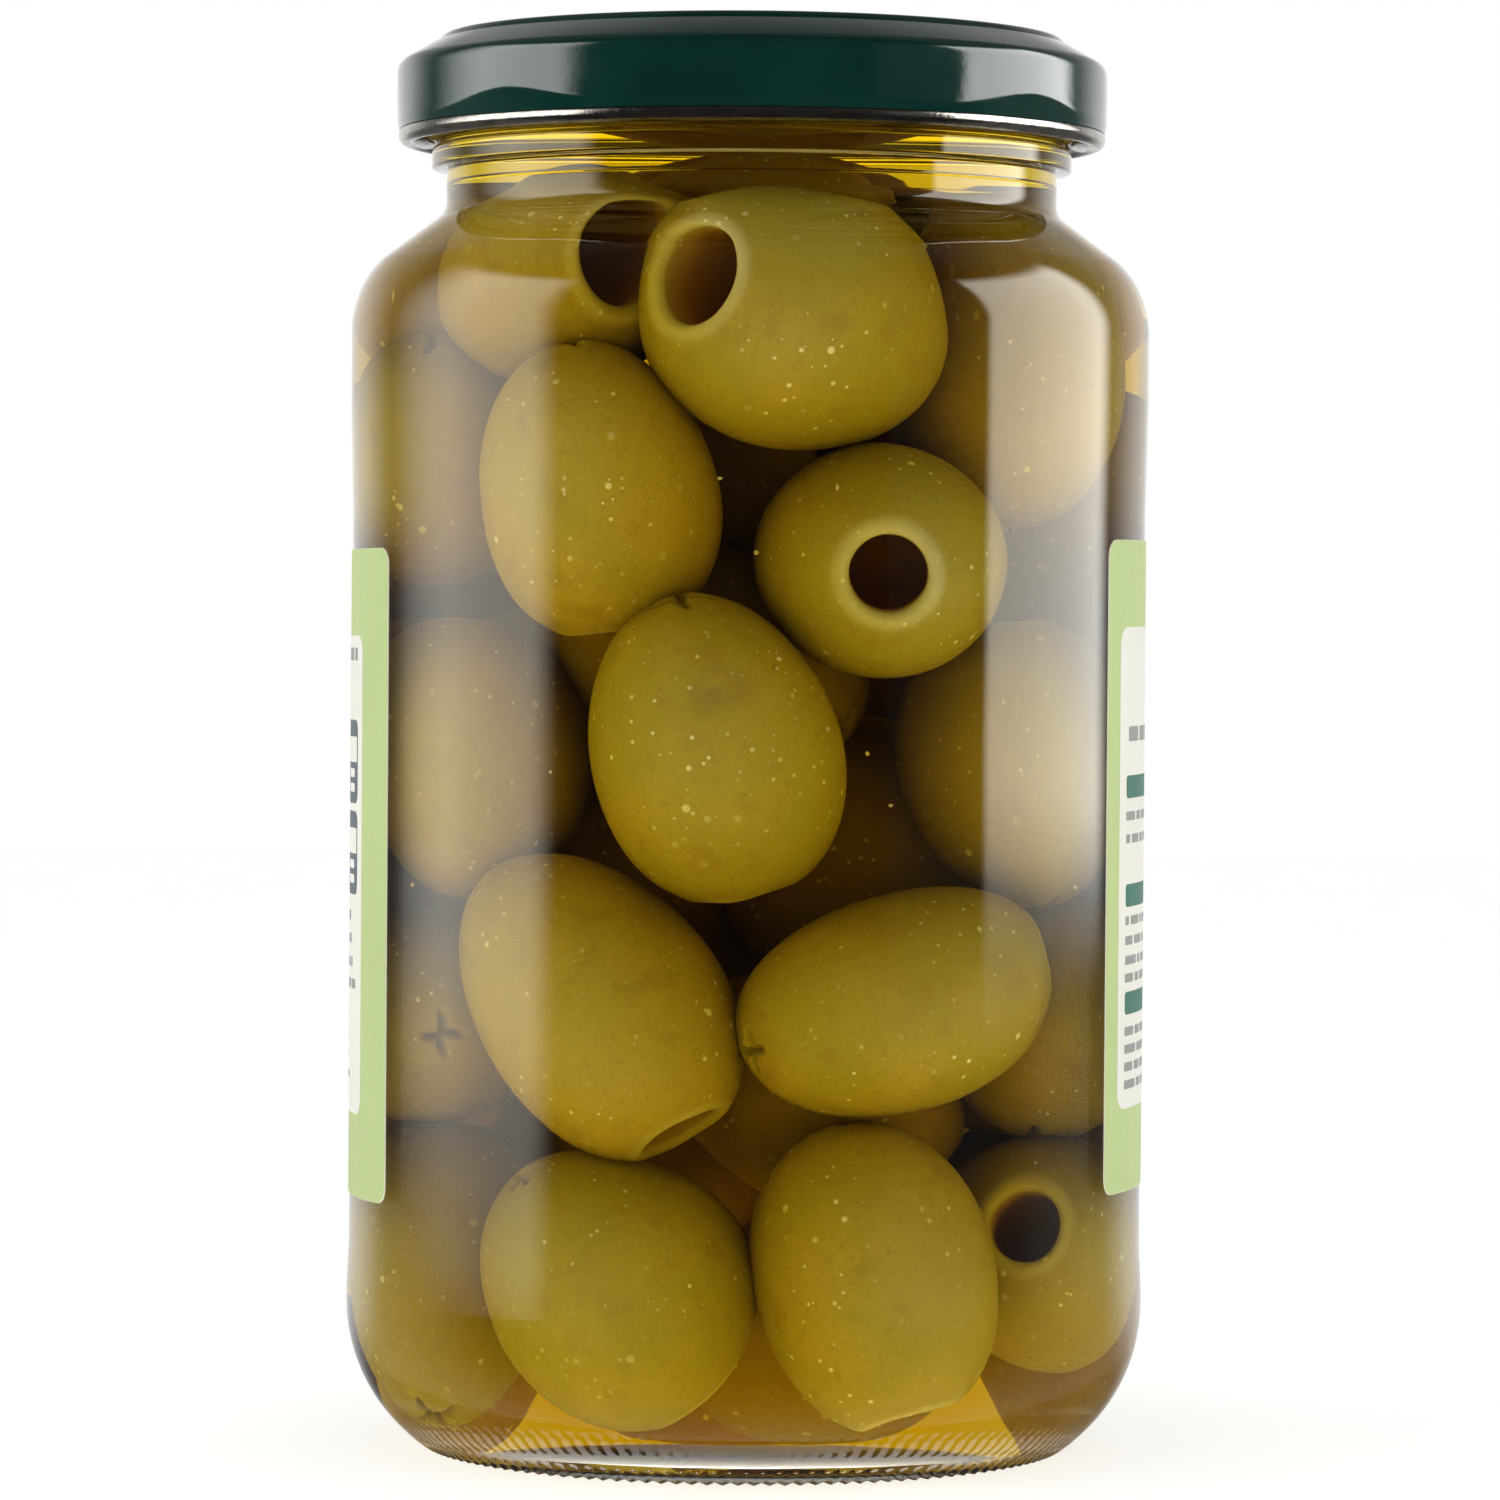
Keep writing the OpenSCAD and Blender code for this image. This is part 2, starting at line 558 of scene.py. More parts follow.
@dataclass(frozen=True)
class Brine:
    """Amber pickling brine that swallows blue first and then green."""

    ior: float = 1.34
    tint: Colour = (1.0, 1.0, 1.0)
    hue: Colour = (0.92, 0.842, 0.0)
    density: float = 120.0

    def material(self) -> bpy.types.Material:
        """Make the material.

        Returns:
            The material.
        """
        material, tree = fresh("brine")
        haze = tree.noise(14.0, 2.0)
        clear = tree.principled(
            Base_Color=self.tint,
            Roughness=0.0,
            IOR=self.ior,
            Transmission_Weight=1.0,
            Specular_Tint=(0.0, 0.0, 0.0),
            Normal=tree.bump(haze, 0.004),
        )
        body = tree.add("ShaderNodeVolumeAbsorption", Color=self.hue, Density=self.density)
        tree.show_clear(clear, self.tint, body.outputs[0])
        return material


@dataclass(frozen=True)
class OliveFlesh:
    """Skin and cut flesh of pickled green olives: mottled, dotted and waxy."""

    ripe: Colour = (0.28, 0.182, 0.015)
    green: Colour = (0.23, 0.165, 0.010)
    dull: Colour = (0.21, 0.126, 0.010)
    pale: Colour = (0.72, 0.62, 0.28)
    core: Colour = (0.36, 0.17, 0.03)
    bruise: Colour = (0.16, 0.10, 0.03)

    def material(self) -> bpy.types.Material:
        """Make the material. It reads the values pit, scar, rim and tone from the mesh.

        Returns:
            The material.
        """
        material, tree = fresh("olive_flesh")
        told = {}
        for name in Olive.VALUES:
            told[name] = tree.add("ShaderNodeAttribute", {"attribute_name": name}).outputs["Fac"]
        blotch = tree.math("ADD", tree.noise(9.0, 3.0), tree.math("MULTIPLY", told["tone"], 0.5))
        skin = tree.mix(tree.step(blotch, 0.45, 0.95), self.ripe, self.green)
        skin = tree.mix(tree.step(tree.noise(4.0, 4.0), 0.52, 0.75, (0.0, 0.6)), skin, self.dull)
        fine = tree.noise(0.5, 3.0)
        skin = tree.mix(tree.step(fine, 0.48, 0.72, (0.0, 0.45)), skin, self.dull)
        crowd = tree.step(tree.noise(11.0, 1.0), 0.38, 0.62, (0.15, 1.0))
        specks = tree.math("MAXIMUM", tree.dots(1.3, 0.3, 0.95), tree.dots(2.6, 0.52, 0.6))
        skin = tree.mix(tree.math("MULTIPLY", specks, tree.math("MULTIPLY", crowd, 0.55)), skin, self.pale)
        flaws = tree.math("MULTIPLY", tree.dots(4.3, 0.25, 0.10), 0.6)
        skin = tree.mix(flaws, skin, self.bruise)
        skin = tree.mix(tree.math("MULTIPLY", told["rim"], 0.22), skin, self.pale)
        skin = tree.mix(told["scar"], skin, self.bruise)
        skin = tree.mix(told["pit"], skin, self.core)
        grain = tree.math("MULTIPLY", tree.noise(1.2, 3.0), 0.5)
        relief = tree.math("SUBTRACT", grain, tree.math("MULTIPLY", specks, -0.3))
        waxy = tree.principled(
            Base_Color=skin,
            Roughness=tree.step(fine, 0.3, 0.7, (0.42, 0.6)),
            IOR=1.4,
            Specular_IOR_Level=0.12,
            Normal=tree.bump(relief, 0.12),
        )
        tree.show(waxy)
        return material


@dataclass(frozen=True)
class Lacquer:
    """Stoved lacquer over tinplate, glossy, with a little orange peel and dust."""

    colour: Colour
    roughness: float = 0.08

    def material(self, name: str) -> bpy.types.Material:
        """Make the material.

        Args:
            name: Its name.

        Returns:
            The material.
        """
        material, tree = fresh(name)
        cloud = tree.step(tree.noise(16.0, 3.0), 0.35, 0.7)
        lighter = tuple(min(1.0, c * 1.35 + 0.001) for c in self.colour)
        peel = tree.noise(0.9, 2.0)
        grime = tree.dots(2.2, 0.12, 0.06)
        coat = tree.principled(
            Base_Color=tree.mix(cloud, self.colour, lighter),
            Roughness=tree.step(tree.noise(5.0, 4.0), 0.3, 0.8, (self.roughness, self.roughness + 0.09)),
            IOR=1.52,
            Specular_IOR_Level=0.5,
            Coat_Weight=0.25,
            Coat_Roughness=0.08,
            Normal=tree.bump(tree.math("ADD", peel, grime), 0.01),
        )
        tree.show(coat)
        return material


@dataclass(frozen=True)
class Tinplate:
    """Bare tinplate, faintly crystalline and scuffed by the closing machine."""

    colour: Colour = (0.36, 0.34, 0.30)
    scuffed: Colour = (0.24, 0.22, 0.19)

    def material(self) -> bpy.types.Material:
        """Make the material.

        Returns:
            The material.
        """
        material, tree = fresh("tinplate")
        grain = tree.noise(0.35, 3.0)
        scuffs = tree.step(tree.noise(2.4, 5.0, (1.0, 1.0, 0.25)), 0.45, 0.7)
        metal = tree.principled(
            Base_Color=tree.mix(scuffs, self.colour, self.scuffed),
            Metallic=1.0,
            Roughness=tree.step(grain, 0.25, 0.75, (0.1, 0.26)),
            Normal=tree.bump(grain, 0.016),
        )
        tree.show(metal)
        return material


class Ink(Enum):
    """Printing inks of the label, by their colours on paper."""

    BORDER = (0.37, 0.46, 0.18)
    PANEL = (0.64, 0.63, 0.56)
    SLATE = (0.055, 0.085, 0.10)
    GREY = (0.22, 0.22, 0.21)
    FOREST = (0.006, 0.105, 0.06)
    LEAF = (0.36, 0.47, 0.09)


@dataclass(frozen=True)
class Paper:
    """Coated label paper, bare or under a flat ink."""

    colour: Colour

    def material(self, name: str) -> bpy.types.Material:
        """Make the material.

        Args:
            name: Its name.

        Returns:
            The material.
        """
        material, tree = fresh(name)
        fibre = tree.noise(0.35, 4.0)
        cloud = tree.step(tree.noise(12.0, 3.0), 0.3, 0.8, (0.0, 0.5))
        darker = tuple(c * 0.9 for c in self.colour)
        sheet = tree.principled(
            Base_Color=tree.mix(cloud, self.colour, darker),
            Roughness=tree.step(fibre, 0.3, 0.7, (0.42, 0.58)),
            Specular_IOR_Level=0.35,
            Normal=tree.bump(fibre, 0.006),
        )
        tree.show(sheet)
        return material


@dataclass(frozen=True)
class Crumb:
    """Loose bits of olive flesh and skin that float in the brine."""

    colour: Colour = (0.34, 0.25, 0.07)
    skin: Colour = (0.3, 0.2, 0.07)

    def material(self) -> bpy.types.Material:
        """Make the material.

        Returns:
            The material.
        """
        material, tree = fresh("crumb")
        shade = tree.step(tree.noise(0.8, 2.0), 0.35, 0.65)
        bit = tree.principled(
            Base_Color=tree.mix(shade, self.colour, self.skin),
            Roughness=0.6,
            Specular_IOR_Level=0.1,
            Normal=tree.bump(tree.noise(0.15, 2.0), 0.05),
        )
        tree.show(bit)
        return material


# ---------------------------------------------------------------- the jar's glass


@dataclass
class GlassJar:
    """The jar's glass, from its knurled foot to its rim."""

    segments: int = 540
    panel_r: float = 40.8
    band_r: float = 41.03
    wall: float = 2.2
    lower_band: Point = (16.5, 21.0)
    panel_middle: float = 58.0
    upper_band: Point = (96.0, 107.0)
    heel_z: float = 15.0
    heel_r: float = 18.0
    bearing_r: float = 29.6
    push_up: float = 2.2
    floor_t: float = 3.2
    inner_heel_r: float = 11.0
    shoulder_z: float = 114.4
    shoulder_r: float = 10.5
    slope: float = 57.0
    crease: float = 44.0
    fillet: Point = (35.4, 128.54)
    fillet_r: float = 4.0
    bead_z: float = 131.1
    bead_r: float = 32.9
    bead_h: float = 2.0
    finish_r: float = 32.2
    mouth_r: float = 29.2
    rim: Point = (30.7, 143.05)
    rim_r: float = 1.5
    knurls: int = 135
    knurl_depth: float = 0.3
    knurl_top: float = 1.6
    knurl_end: Point = (35.4, 33.6)
    threads: int = 4
    thread_span: float = 56.0
    thread_slope: float = 4.4
    thread_z: float = 137.6
    thread_out: float = 1.5
    thread_half: Point = (1.05, 0.15)
    thread_fade: float = 0.12
    threads_from: float = 133.0
    first_thread: float = -70.0
    hollow_r: float = 2.2
    hollow_z: float = 127.8
    parting_z: float = 129.4
    parting_out: float = 0.05
    seam: float = 15.0
    seam_span: Point = (106.0, 131.0)
    seam_height: float = 0.07

    @property
    def inner_r(self) -> float:
        """Radius of the inside at the side wall."""
        return self.panel_r - self.wall

    @property
    def shoulder(self) -> Point:
        """Centre of the shoulder's bulge, which touches the upper band."""
        return self.band_r - self.shoulder_r, self.shoulder_z

    def outside(self) -> list[Point]:
        """Outline of the outside, from the axis under the base to the top of the rim."""
        start = -math.degrees(math.asin(self.heel_z / self.heel_r))
        foot = dome(self.bearing_r, 0.0, self.push_up)
        heel = arc(self.band_r - self.heel_r, self.heel_z, self.heel_r, start, 0, 30)
        panel = [
            (self.band_r, self.lower_band[0]), (self.panel_r, self.lower_band[1]),
            (self.panel_r, self.panel_middle),
            (self.panel_r, self.upper_band[0]), (self.band_r, self.upper_band[1]),
        ]
        bulge = arc(*self.shoulder, self.shoulder_r, 0, self.crease, 24)
        neck = self.fillet[0] - self.fillet_r
        tight = self.hollow_r
        hollow = arc(neck + tight, self.hollow_z, tight, 180 + self.slope, 180, 12)
        low, top = self.bead_z, self.bead_z + self.bead_h
        line, line_z = neck + self.parting_out, self.parting_z
        bead = [
            (neck, line_z - 0.14), (line, line_z - 0.05), (line, line_z + 0.05), (neck, line_z + 0.14),
            (neck, low - 0.3), (neck + 0.1, low - 0.14), (self.bead_r - 0.3, low),
            (self.bead_r - 0.07, low + 0.07), (self.bead_r, low + 0.2),
            (self.bead_r, top), (self.bead_r - 0.1, top + 0.15),
            (self.finish_r + 0.1, top + 0.3), (self.finish_r, top + 0.45),
        ]
        bead = filled([hollow[-1], *bead], 0.12)
        finish = filled([bead[-1], (self.finish_r, self.rim[1])], 0.3)[1:-1]
        lip = arc(*self.rim, self.rim_r, 0, 90, 8)
        foot = filled(foot + heel[:12], 0.5)
        return foot + heel[12:] + panel + bulge + hollow[:-1] + bead + finish + lip

    def inside(self, into_wall: float = 0.0) -> list[Point]:
        """Outline of the inside, from the middle of the floor to the fillet under the mouth.

        Args:
            into_wall: How far the outline lies inside the glass.

        Returns:
            The outline.
        """
        x = self.inner_r - self.inner_heel_r
        ring = self.inner_heel_r + into_wall
        bulge = self.inner_r - self.shoulder[0] + into_wall
        hollow = self.fillet_r + self.wall - into_wall
        return (
            dome(x, self.floor_t - into_wall, self.push_up)
            + arc(x, self.floor_t + self.inner_heel_r, ring, -82.5, 0, 24)
            + arc(*self.shoulder, bulge, 0, self.slope, 20)
            + arc(*self.fillet, hollow, 180 + self.slope, 180, 12)
        )

    def carve(
        self, radii: np.ndarray, heights: np.ndarray, angles: np.ndarray
    ) -> tuple[np.ndarray, np.ndarray]:
        """Press the knurls, the threads and the mould seams into the outside.

        Args:
            radii: Radii by ring and segment.
            heights: Heights by ring and segment.
            angles: Plan angles by segment, in radians.

        Returns:
            The changed radii and heights.
        """
        rows = np.arange(len(radii))[:, None]
        outer = rows < len(self.outside())
        under = outer & (heights < self.knurl_top) & (radii > self.bearing_r - 0.6)
        window = smooth(radii, self.bearing_r - 0.4, self.bearing_r + 0.5) * smooth(radii, *self.knurl_end)
        groove = 0.5 - 0.5 * np.cos(self.knurls * angles)
        heights = heights + under * window * self.knurl_depth * groove
        for i in range(self.threads):
            middle = math.radians(self.first_thread + i * 360 / self.threads)
            away = turned_from(angles, middle)
            half = math.radians(self.thread_span / 2)
            centre = self.thread_z + self.finish_r * away * math.tan(math.radians(self.thread_slope))
            ends = smooth(np.abs(away), half, half - self.thread_fade)
            ridge = smooth(np.abs(heights - centre), *self.thread_half)
            radii = radii + outer * (heights > self.threads_from) * self.thread_out * ends * ridge
        spanned = (heights > self.seam_span[0]) * (heights < self.seam_span[1])
        for azimuth in (self.seam, self.seam + 180):
            line = np.abs(turned_from(angles, from_front(azimuth))) < math.pi / self.segments
            radii = radii + outer * line * spanned * self.seam_height
        return radii, heights

    def build(self, fill_z: float) -> bpy.types.Object:
        """Make the glass.

        Args:
            fill_z: Height of the brine's surface. The inside under it is wetted.

        Returns:
            The piece.
        """
        outside = self.outside()
        mouth = arc(*self.rim, self.rim_r, 105, 180, 6)
        inside = self.inside()
        wall = filled([mouth[-1], (self.mouth_r, fill_z), inside[-1]], 3.0)[1:-1]
        outline = outside + mouth + wall + inside[::-1]
        shape = revolved(outline, self.segments, self.carve)
        middles = np.array([shape.corners[list(face)].mean(0) for face in shape.faces])
        first_inside = (len(outside) + len(mouth)) * self.segments
        lowest = np.array([min(face) for face in shape.faces])
        wet = (lowest > first_inside - self.segments) & (middles[:, 2] < fill_z)
        shape.coats = wet.astype(int).tolist()
        glass = FlintGlass()
        return shape.piece("jar_glass", [glass.material("glass", False), glass.material("wet_glass", True)])


# ---------------------------------------------------------------- the brine


@dataclass
class BrineFill:
    """The brine, out to the glass and up to its level."""

    fill_z: float = 134.2
    into_wall: float = 0.06
    segments: int = 256
    meniscus: float = 0.9

    def build(self, jar: GlassJar) -> bpy.types.Object:
        """Make the brine.

        Args:
            jar: The jar that holds it.

        Returns:
            The piece.
        """
        edge = jar.mouth_r + self.into_wall
        side = jar.inside(self.into_wall)
        top = [(edge, self.fill_z)]
        for drop in (0.2, 0.5, 1.0, 1.8, 3.0, 5.0):
            top.append((edge - drop, self.fill_z - self.meniscus * (1 - math.exp(-drop))))
        top.append((0.0, self.fill_z - self.meniscus))
        return revolved(side + top, self.segments).piece("brine_fill", [Brine().material()])


# ---------------------------------------------------------------- the olives


@dataclass
class Olive:
    """One pitted olive. Its own Z axis points out of its punched hole."""

    VALUES = ("pit", "scar", "rim", "tone")

    length: float
    width: float
    at: np.ndarray
    hole: np.ndarray
    seed: int
    blemish: Point | None = None
    bore: float = 0.33

    def outline(self, rings: int) -> tuple[np.ndarray, np.ndarray, np.ndarray, np.ndarray]:
        """The olive's outline from the bottom of its pit, over the rim, to the far end.

        Args:
            rings: Rings over the outside.

        Returns:
            Radii, heights, a share that is 1 in the pit, and a share that is 1 on the rim.
        """
        half, wide = self.length / 2, self.width / 2
        bore = wide * self.bore
        lip = 0.9
        start = math.asin(min(0.9, ((bore + lip) / wide) ** (1 / 0.9)))
        shares = np.linspace(0, 1, rings)
        shares = shares - 0.055 * np.sin(2 * math.pi * shares)
        turn = start + (math.pi - start) * shares
        skin_r = wide * np.sin(turn) ** 0.9 * (1 + 0.05 * np.cos(turn))
        skin_z = half * np.cos(turn)
        bend = np.linspace(0, math.pi / 2, 6)[:-1]
        rim_r = bore + lip - lip * np.sin(bend)
        rim_z = skin_z[0] - lip * (1 - np.cos(bend))
        depth = np.array([0.0, 0.06, 0.2, 0.4, 0.62, 0.82, 0.95, 1.0])
        pit_r = bore * np.array([1.0, 0.98, 1.04, 1.16, 1.15, 0.9, 0.5, 0.0])
        pit_z = skin_z[0] - lip - depth * (self.length * 0.66)
        radii = np.concatenate([pit_r[::-1], rim_r[::-1], skin_r[1:]])
        heights = np.concatenate([pit_z[::-1], rim_z[::-1], skin_z[1:]])
        mouth = np.exp(-depth[::-1] / 0.05)
        in_pit = np.concatenate([1 - 0.75 * mouth, np.zeros(len(rim_r) + rings - 1)])
        fading = smooth(turn[1:] - start, 0.10, 0.0)
        on_rim = np.concatenate([0.5 * mouth, np.ones(len(rim_r)), fading])
        radii[-1] = 0.0
        return radii, heights, in_pit, on_rim

    def shape(self, rings: int, segments: int) -> Shape:
        """Build the olive where it lies.

        Args:
            rings: Rings over the outside.
            segments: Steps round it.

        Returns:
            The shape.
        """
        rng = np.random.default_rng(self.seed)
        radii, heights, in_pit, on_rim = self.outline(rings)
        outline = list(zip(radii.tolist(), heights.tolist()))
        shape = revolved(outline[::-1], segments)
        per_ring = [segments if r >= ON_AXIS else 1 for r in radii[::-1]]
        pit = np.repeat(in_pit[::-1], per_ring)
        rim = np.repeat(on_rim[::-1], per_ring)
        body = shape.corners.copy()
        half, wide = self.length / 2, self.width / 2
        aim = body / np.linalg.norm(body, axis=1, keepdims=True).clip(1e-6)
        swell = 1 + 0.028 * waves(rng, aim, 5, 1.6) + 0.008 * waves(rng, aim, 7, 4.5)
        swell = swell + 0.012 * (rim + pit) * waves(rng, aim, 6, 9.0)
        body *= swell[:, None]
        sag = rng.normal(size=2) * 0.018 * wide
        body[:, :2] += sag * ((body[:, 2:3] / half) ** 2)
        scar = self.slit(rng, body, half)
        if self.blemish:
            scar = np.maximum(scar, self.dent(body, half))
        tone = np.full(len(body), rng.uniform())
        shape.corners = body
        shape.values = {"pit": pit, "scar": scar, "rim": rim * (1 - pit), "tone": tone}
        return shape.place(self.turn(rng), self.at)

    def slit(self, rng: np.random.Generator, body: np.ndarray, half: float) -> np.ndarray:
        """Press the punch's cross-shaped slit into the far end.

        Args:
            rng: Gives its turn and size.
            body: The corners, which it changes.
            half: Half the olive's length.

        Returns:
            How much of the slit each corner shows.
        """
        turn = rng.uniform(0, math.pi)
        reach = rng.uniform(1.9, 3.3)
        across = body[:, 0] * math.cos(turn) + body[:, 1] * math.sin(turn)
        along = body[:, 1] * math.cos(turn) - body[:, 0] * math.sin(turn)
        low = smooth(body[:, 2], -0.45 * half, -0.75 * half)
        arms = []
        for side, run in ((across, along), (along, across)):
            length = smooth(np.abs(run), reach, reach * 0.55)
            bent = side + 0.22 * np.sin(run * 1.7 + turn * 9)
            arms.append(np.exp(-((bent / 0.36) ** 2)) * length)
        cut = np.maximum(*arms) * low
        flap = np.exp(-(((np.hypot(across, along) - 1.6) / 1.3) ** 2)) * low * (1 - cut)
        body[:, 2] += 1.15 * cut - 0.18 * flap * rng.uniform(0.3, 1.6)
        brown = np.clip(cut * 1.2, 0, 1) * rng.uniform(0.45, 0.95)
        return brown

    def dent(self, body: np.ndarray, half: float) -> np.ndarray:
        """Press a shallow oval bruise with a crease into the side.

        Args:
            body: The corners, which it changes.
            half: Half the olive's length. It is not used.

        Returns:
            How much of the bruise each corner shows.
        """
        turn, height = self.blemish
        angles = np.arctan2(body[:, 1], body[:, 0]) - math.radians(turn)
        sideways = np.sin(angles) * np.hypot(body[:, 0], body[:, 1])
        upwards = body[:, 2] - height
        facing = np.cos(angles) > 0
        oval = np.exp(-((sideways / 2.6) ** 2) - (upwards / 1.7) ** 2) * facing
        crease = np.exp(-((sideways / 1.7) ** 2) - ((upwards - 0.25 * sideways) / 0.35) ** 2) * facing
        body[:, :2] *= 1 - 0.03 * (oval + crease)[:, None]
        ring = np.exp(-((np.hypot(sideways / 1.5, upwards) - 1.6) ** 2) / 0.18) * facing
        return np.clip(0.85 * crease + 0.28 * ring, 0, 1)

    def turn(self, rng: np.random.Generator) -> np.ndarray:
        """The matrix that turns the olive's own axes into place.

        Args:
            rng: Gives the roll about the olive's axis, unless it has a bruise to show.

        Returns:
            A 3 x 3 matrix.
        """
        up = self.hole / np.linalg.norm(self.hole)
        front = np.array([0.0, -1.0, 0.0])
        side = front - up * (front @ up)
        if np.linalg.norm(side) < 0.2:
            side = np.cross(up, [0.0, 0.0, 1.0])
        side /= np.linalg.norm(side)
        other = np.cross(up, side)
        roll = 0.0 if self.blemish else rng.uniform(0, 2 * math.pi)
        first = math.cos(roll) * side + math.sin(roll) * other
        return np.stack([first, np.cross(up, first), up], 1)


@dataclass(frozen=True)
class Seat:
    """Where an olive lies: round the jar from its front, up it, and in from the wall."""

    azimuth: float
    height: float
    inset: float
    length: float
    width: float
    hole: Colour
    blemish: Point | None = None
    bore: float = 0.33


# Olives against the glass that show from the front, from the top down. The hole is the way
# that the punched hole faces.
FRONT_SEATS = [
    Seat(9, 114.5, 13.2, 29, 25.2, (-0.68, -0.68, 0.28), None, 0.36),
    Seat(-48, 119.5, 15.0, 25.5, 22.0, (0.42, -0.90, 0.08), None, 0.42),
    Seat(-31, 98.0, 11.4, 30, 22.4, (0.15, 0.12, -0.98)),
    Seat(29, 91.0, 13.8, 28, 23.2, (0.10, -0.99, -0.09)),
    Seat(-80, 101.0, 11.5, 26, 22.4, (0.05, 0.40, -0.90)),
    Seat(69, 108.5, 14.5, 28, 21.5, (0.10, 0.30, 0.95)),
    Seat(-6.5, 72.2, 11.5, 31, 22.8, (0.20, 0.22, -0.95), (-10, -8.2)),
    Seat(66, 71.0, 13.0, 29, 22.6, (-0.16, 0.12, 0.98)),
    Seat(-68, 71.0, 12.8, 29, 22.8, (-0.04, 0.25, 0.97)),
    Seat(-30.5, 46.8, 12.4, 33, 23.2, (0.50, -0.30, -0.81)),
    Seat(30, 47.3, 11.2, 31, 22.0, (0.83, 0.46, 0.28)),
    Seat(-81, 44.5, 11.5, 25, 22.0, (0.05, 0.97, 0.10)),
    Seat(79, 45.0, 12.2, 26, 22.0, (0.12, 0.35, 0.93)),
    Seat(-26.5, 19.6, 12.8, 27, 24.8, (0.64, 0.14, -0.74)),
    Seat(26, 20.8, 11.6, 29.5, 22.4, (0.24, 0.02, -0.97)),
    Seat(77, 21.5, 12.4, 27, 22.4, (-0.03, -0.96, 0.24)),
    Seat(-78, 20.0, 12.4, 28, 22.6, (0.10, 0.30, 0.95)),
]

# Olives out of sight from the front, which close the shoulder behind the others.
HIDDEN_SEATS = [
    Seat(180, 122.6, 11.8, 27, 21.4, (0.99, 0.05, 0.06)),
    Seat(104, 119.0, 16.0, 26, 21.4, (-0.24, 0.97, 0.10)),
    Seat(-104, 119.0, 16.0, 26, 21.4, (0.24, 0.97, -0.10)),
    Seat(0, 122.0, 32.0, 24.5, 21.2, (0.97, 0.10, 0.08)),
    Seat(-126, 97.5, 12.6, 27, 22.0, (0.10, 0.30, 0.95)),
    Seat(124, 97.0, 12.6, 27, 22.0, (-0.10, 0.35, -0.93)),
]


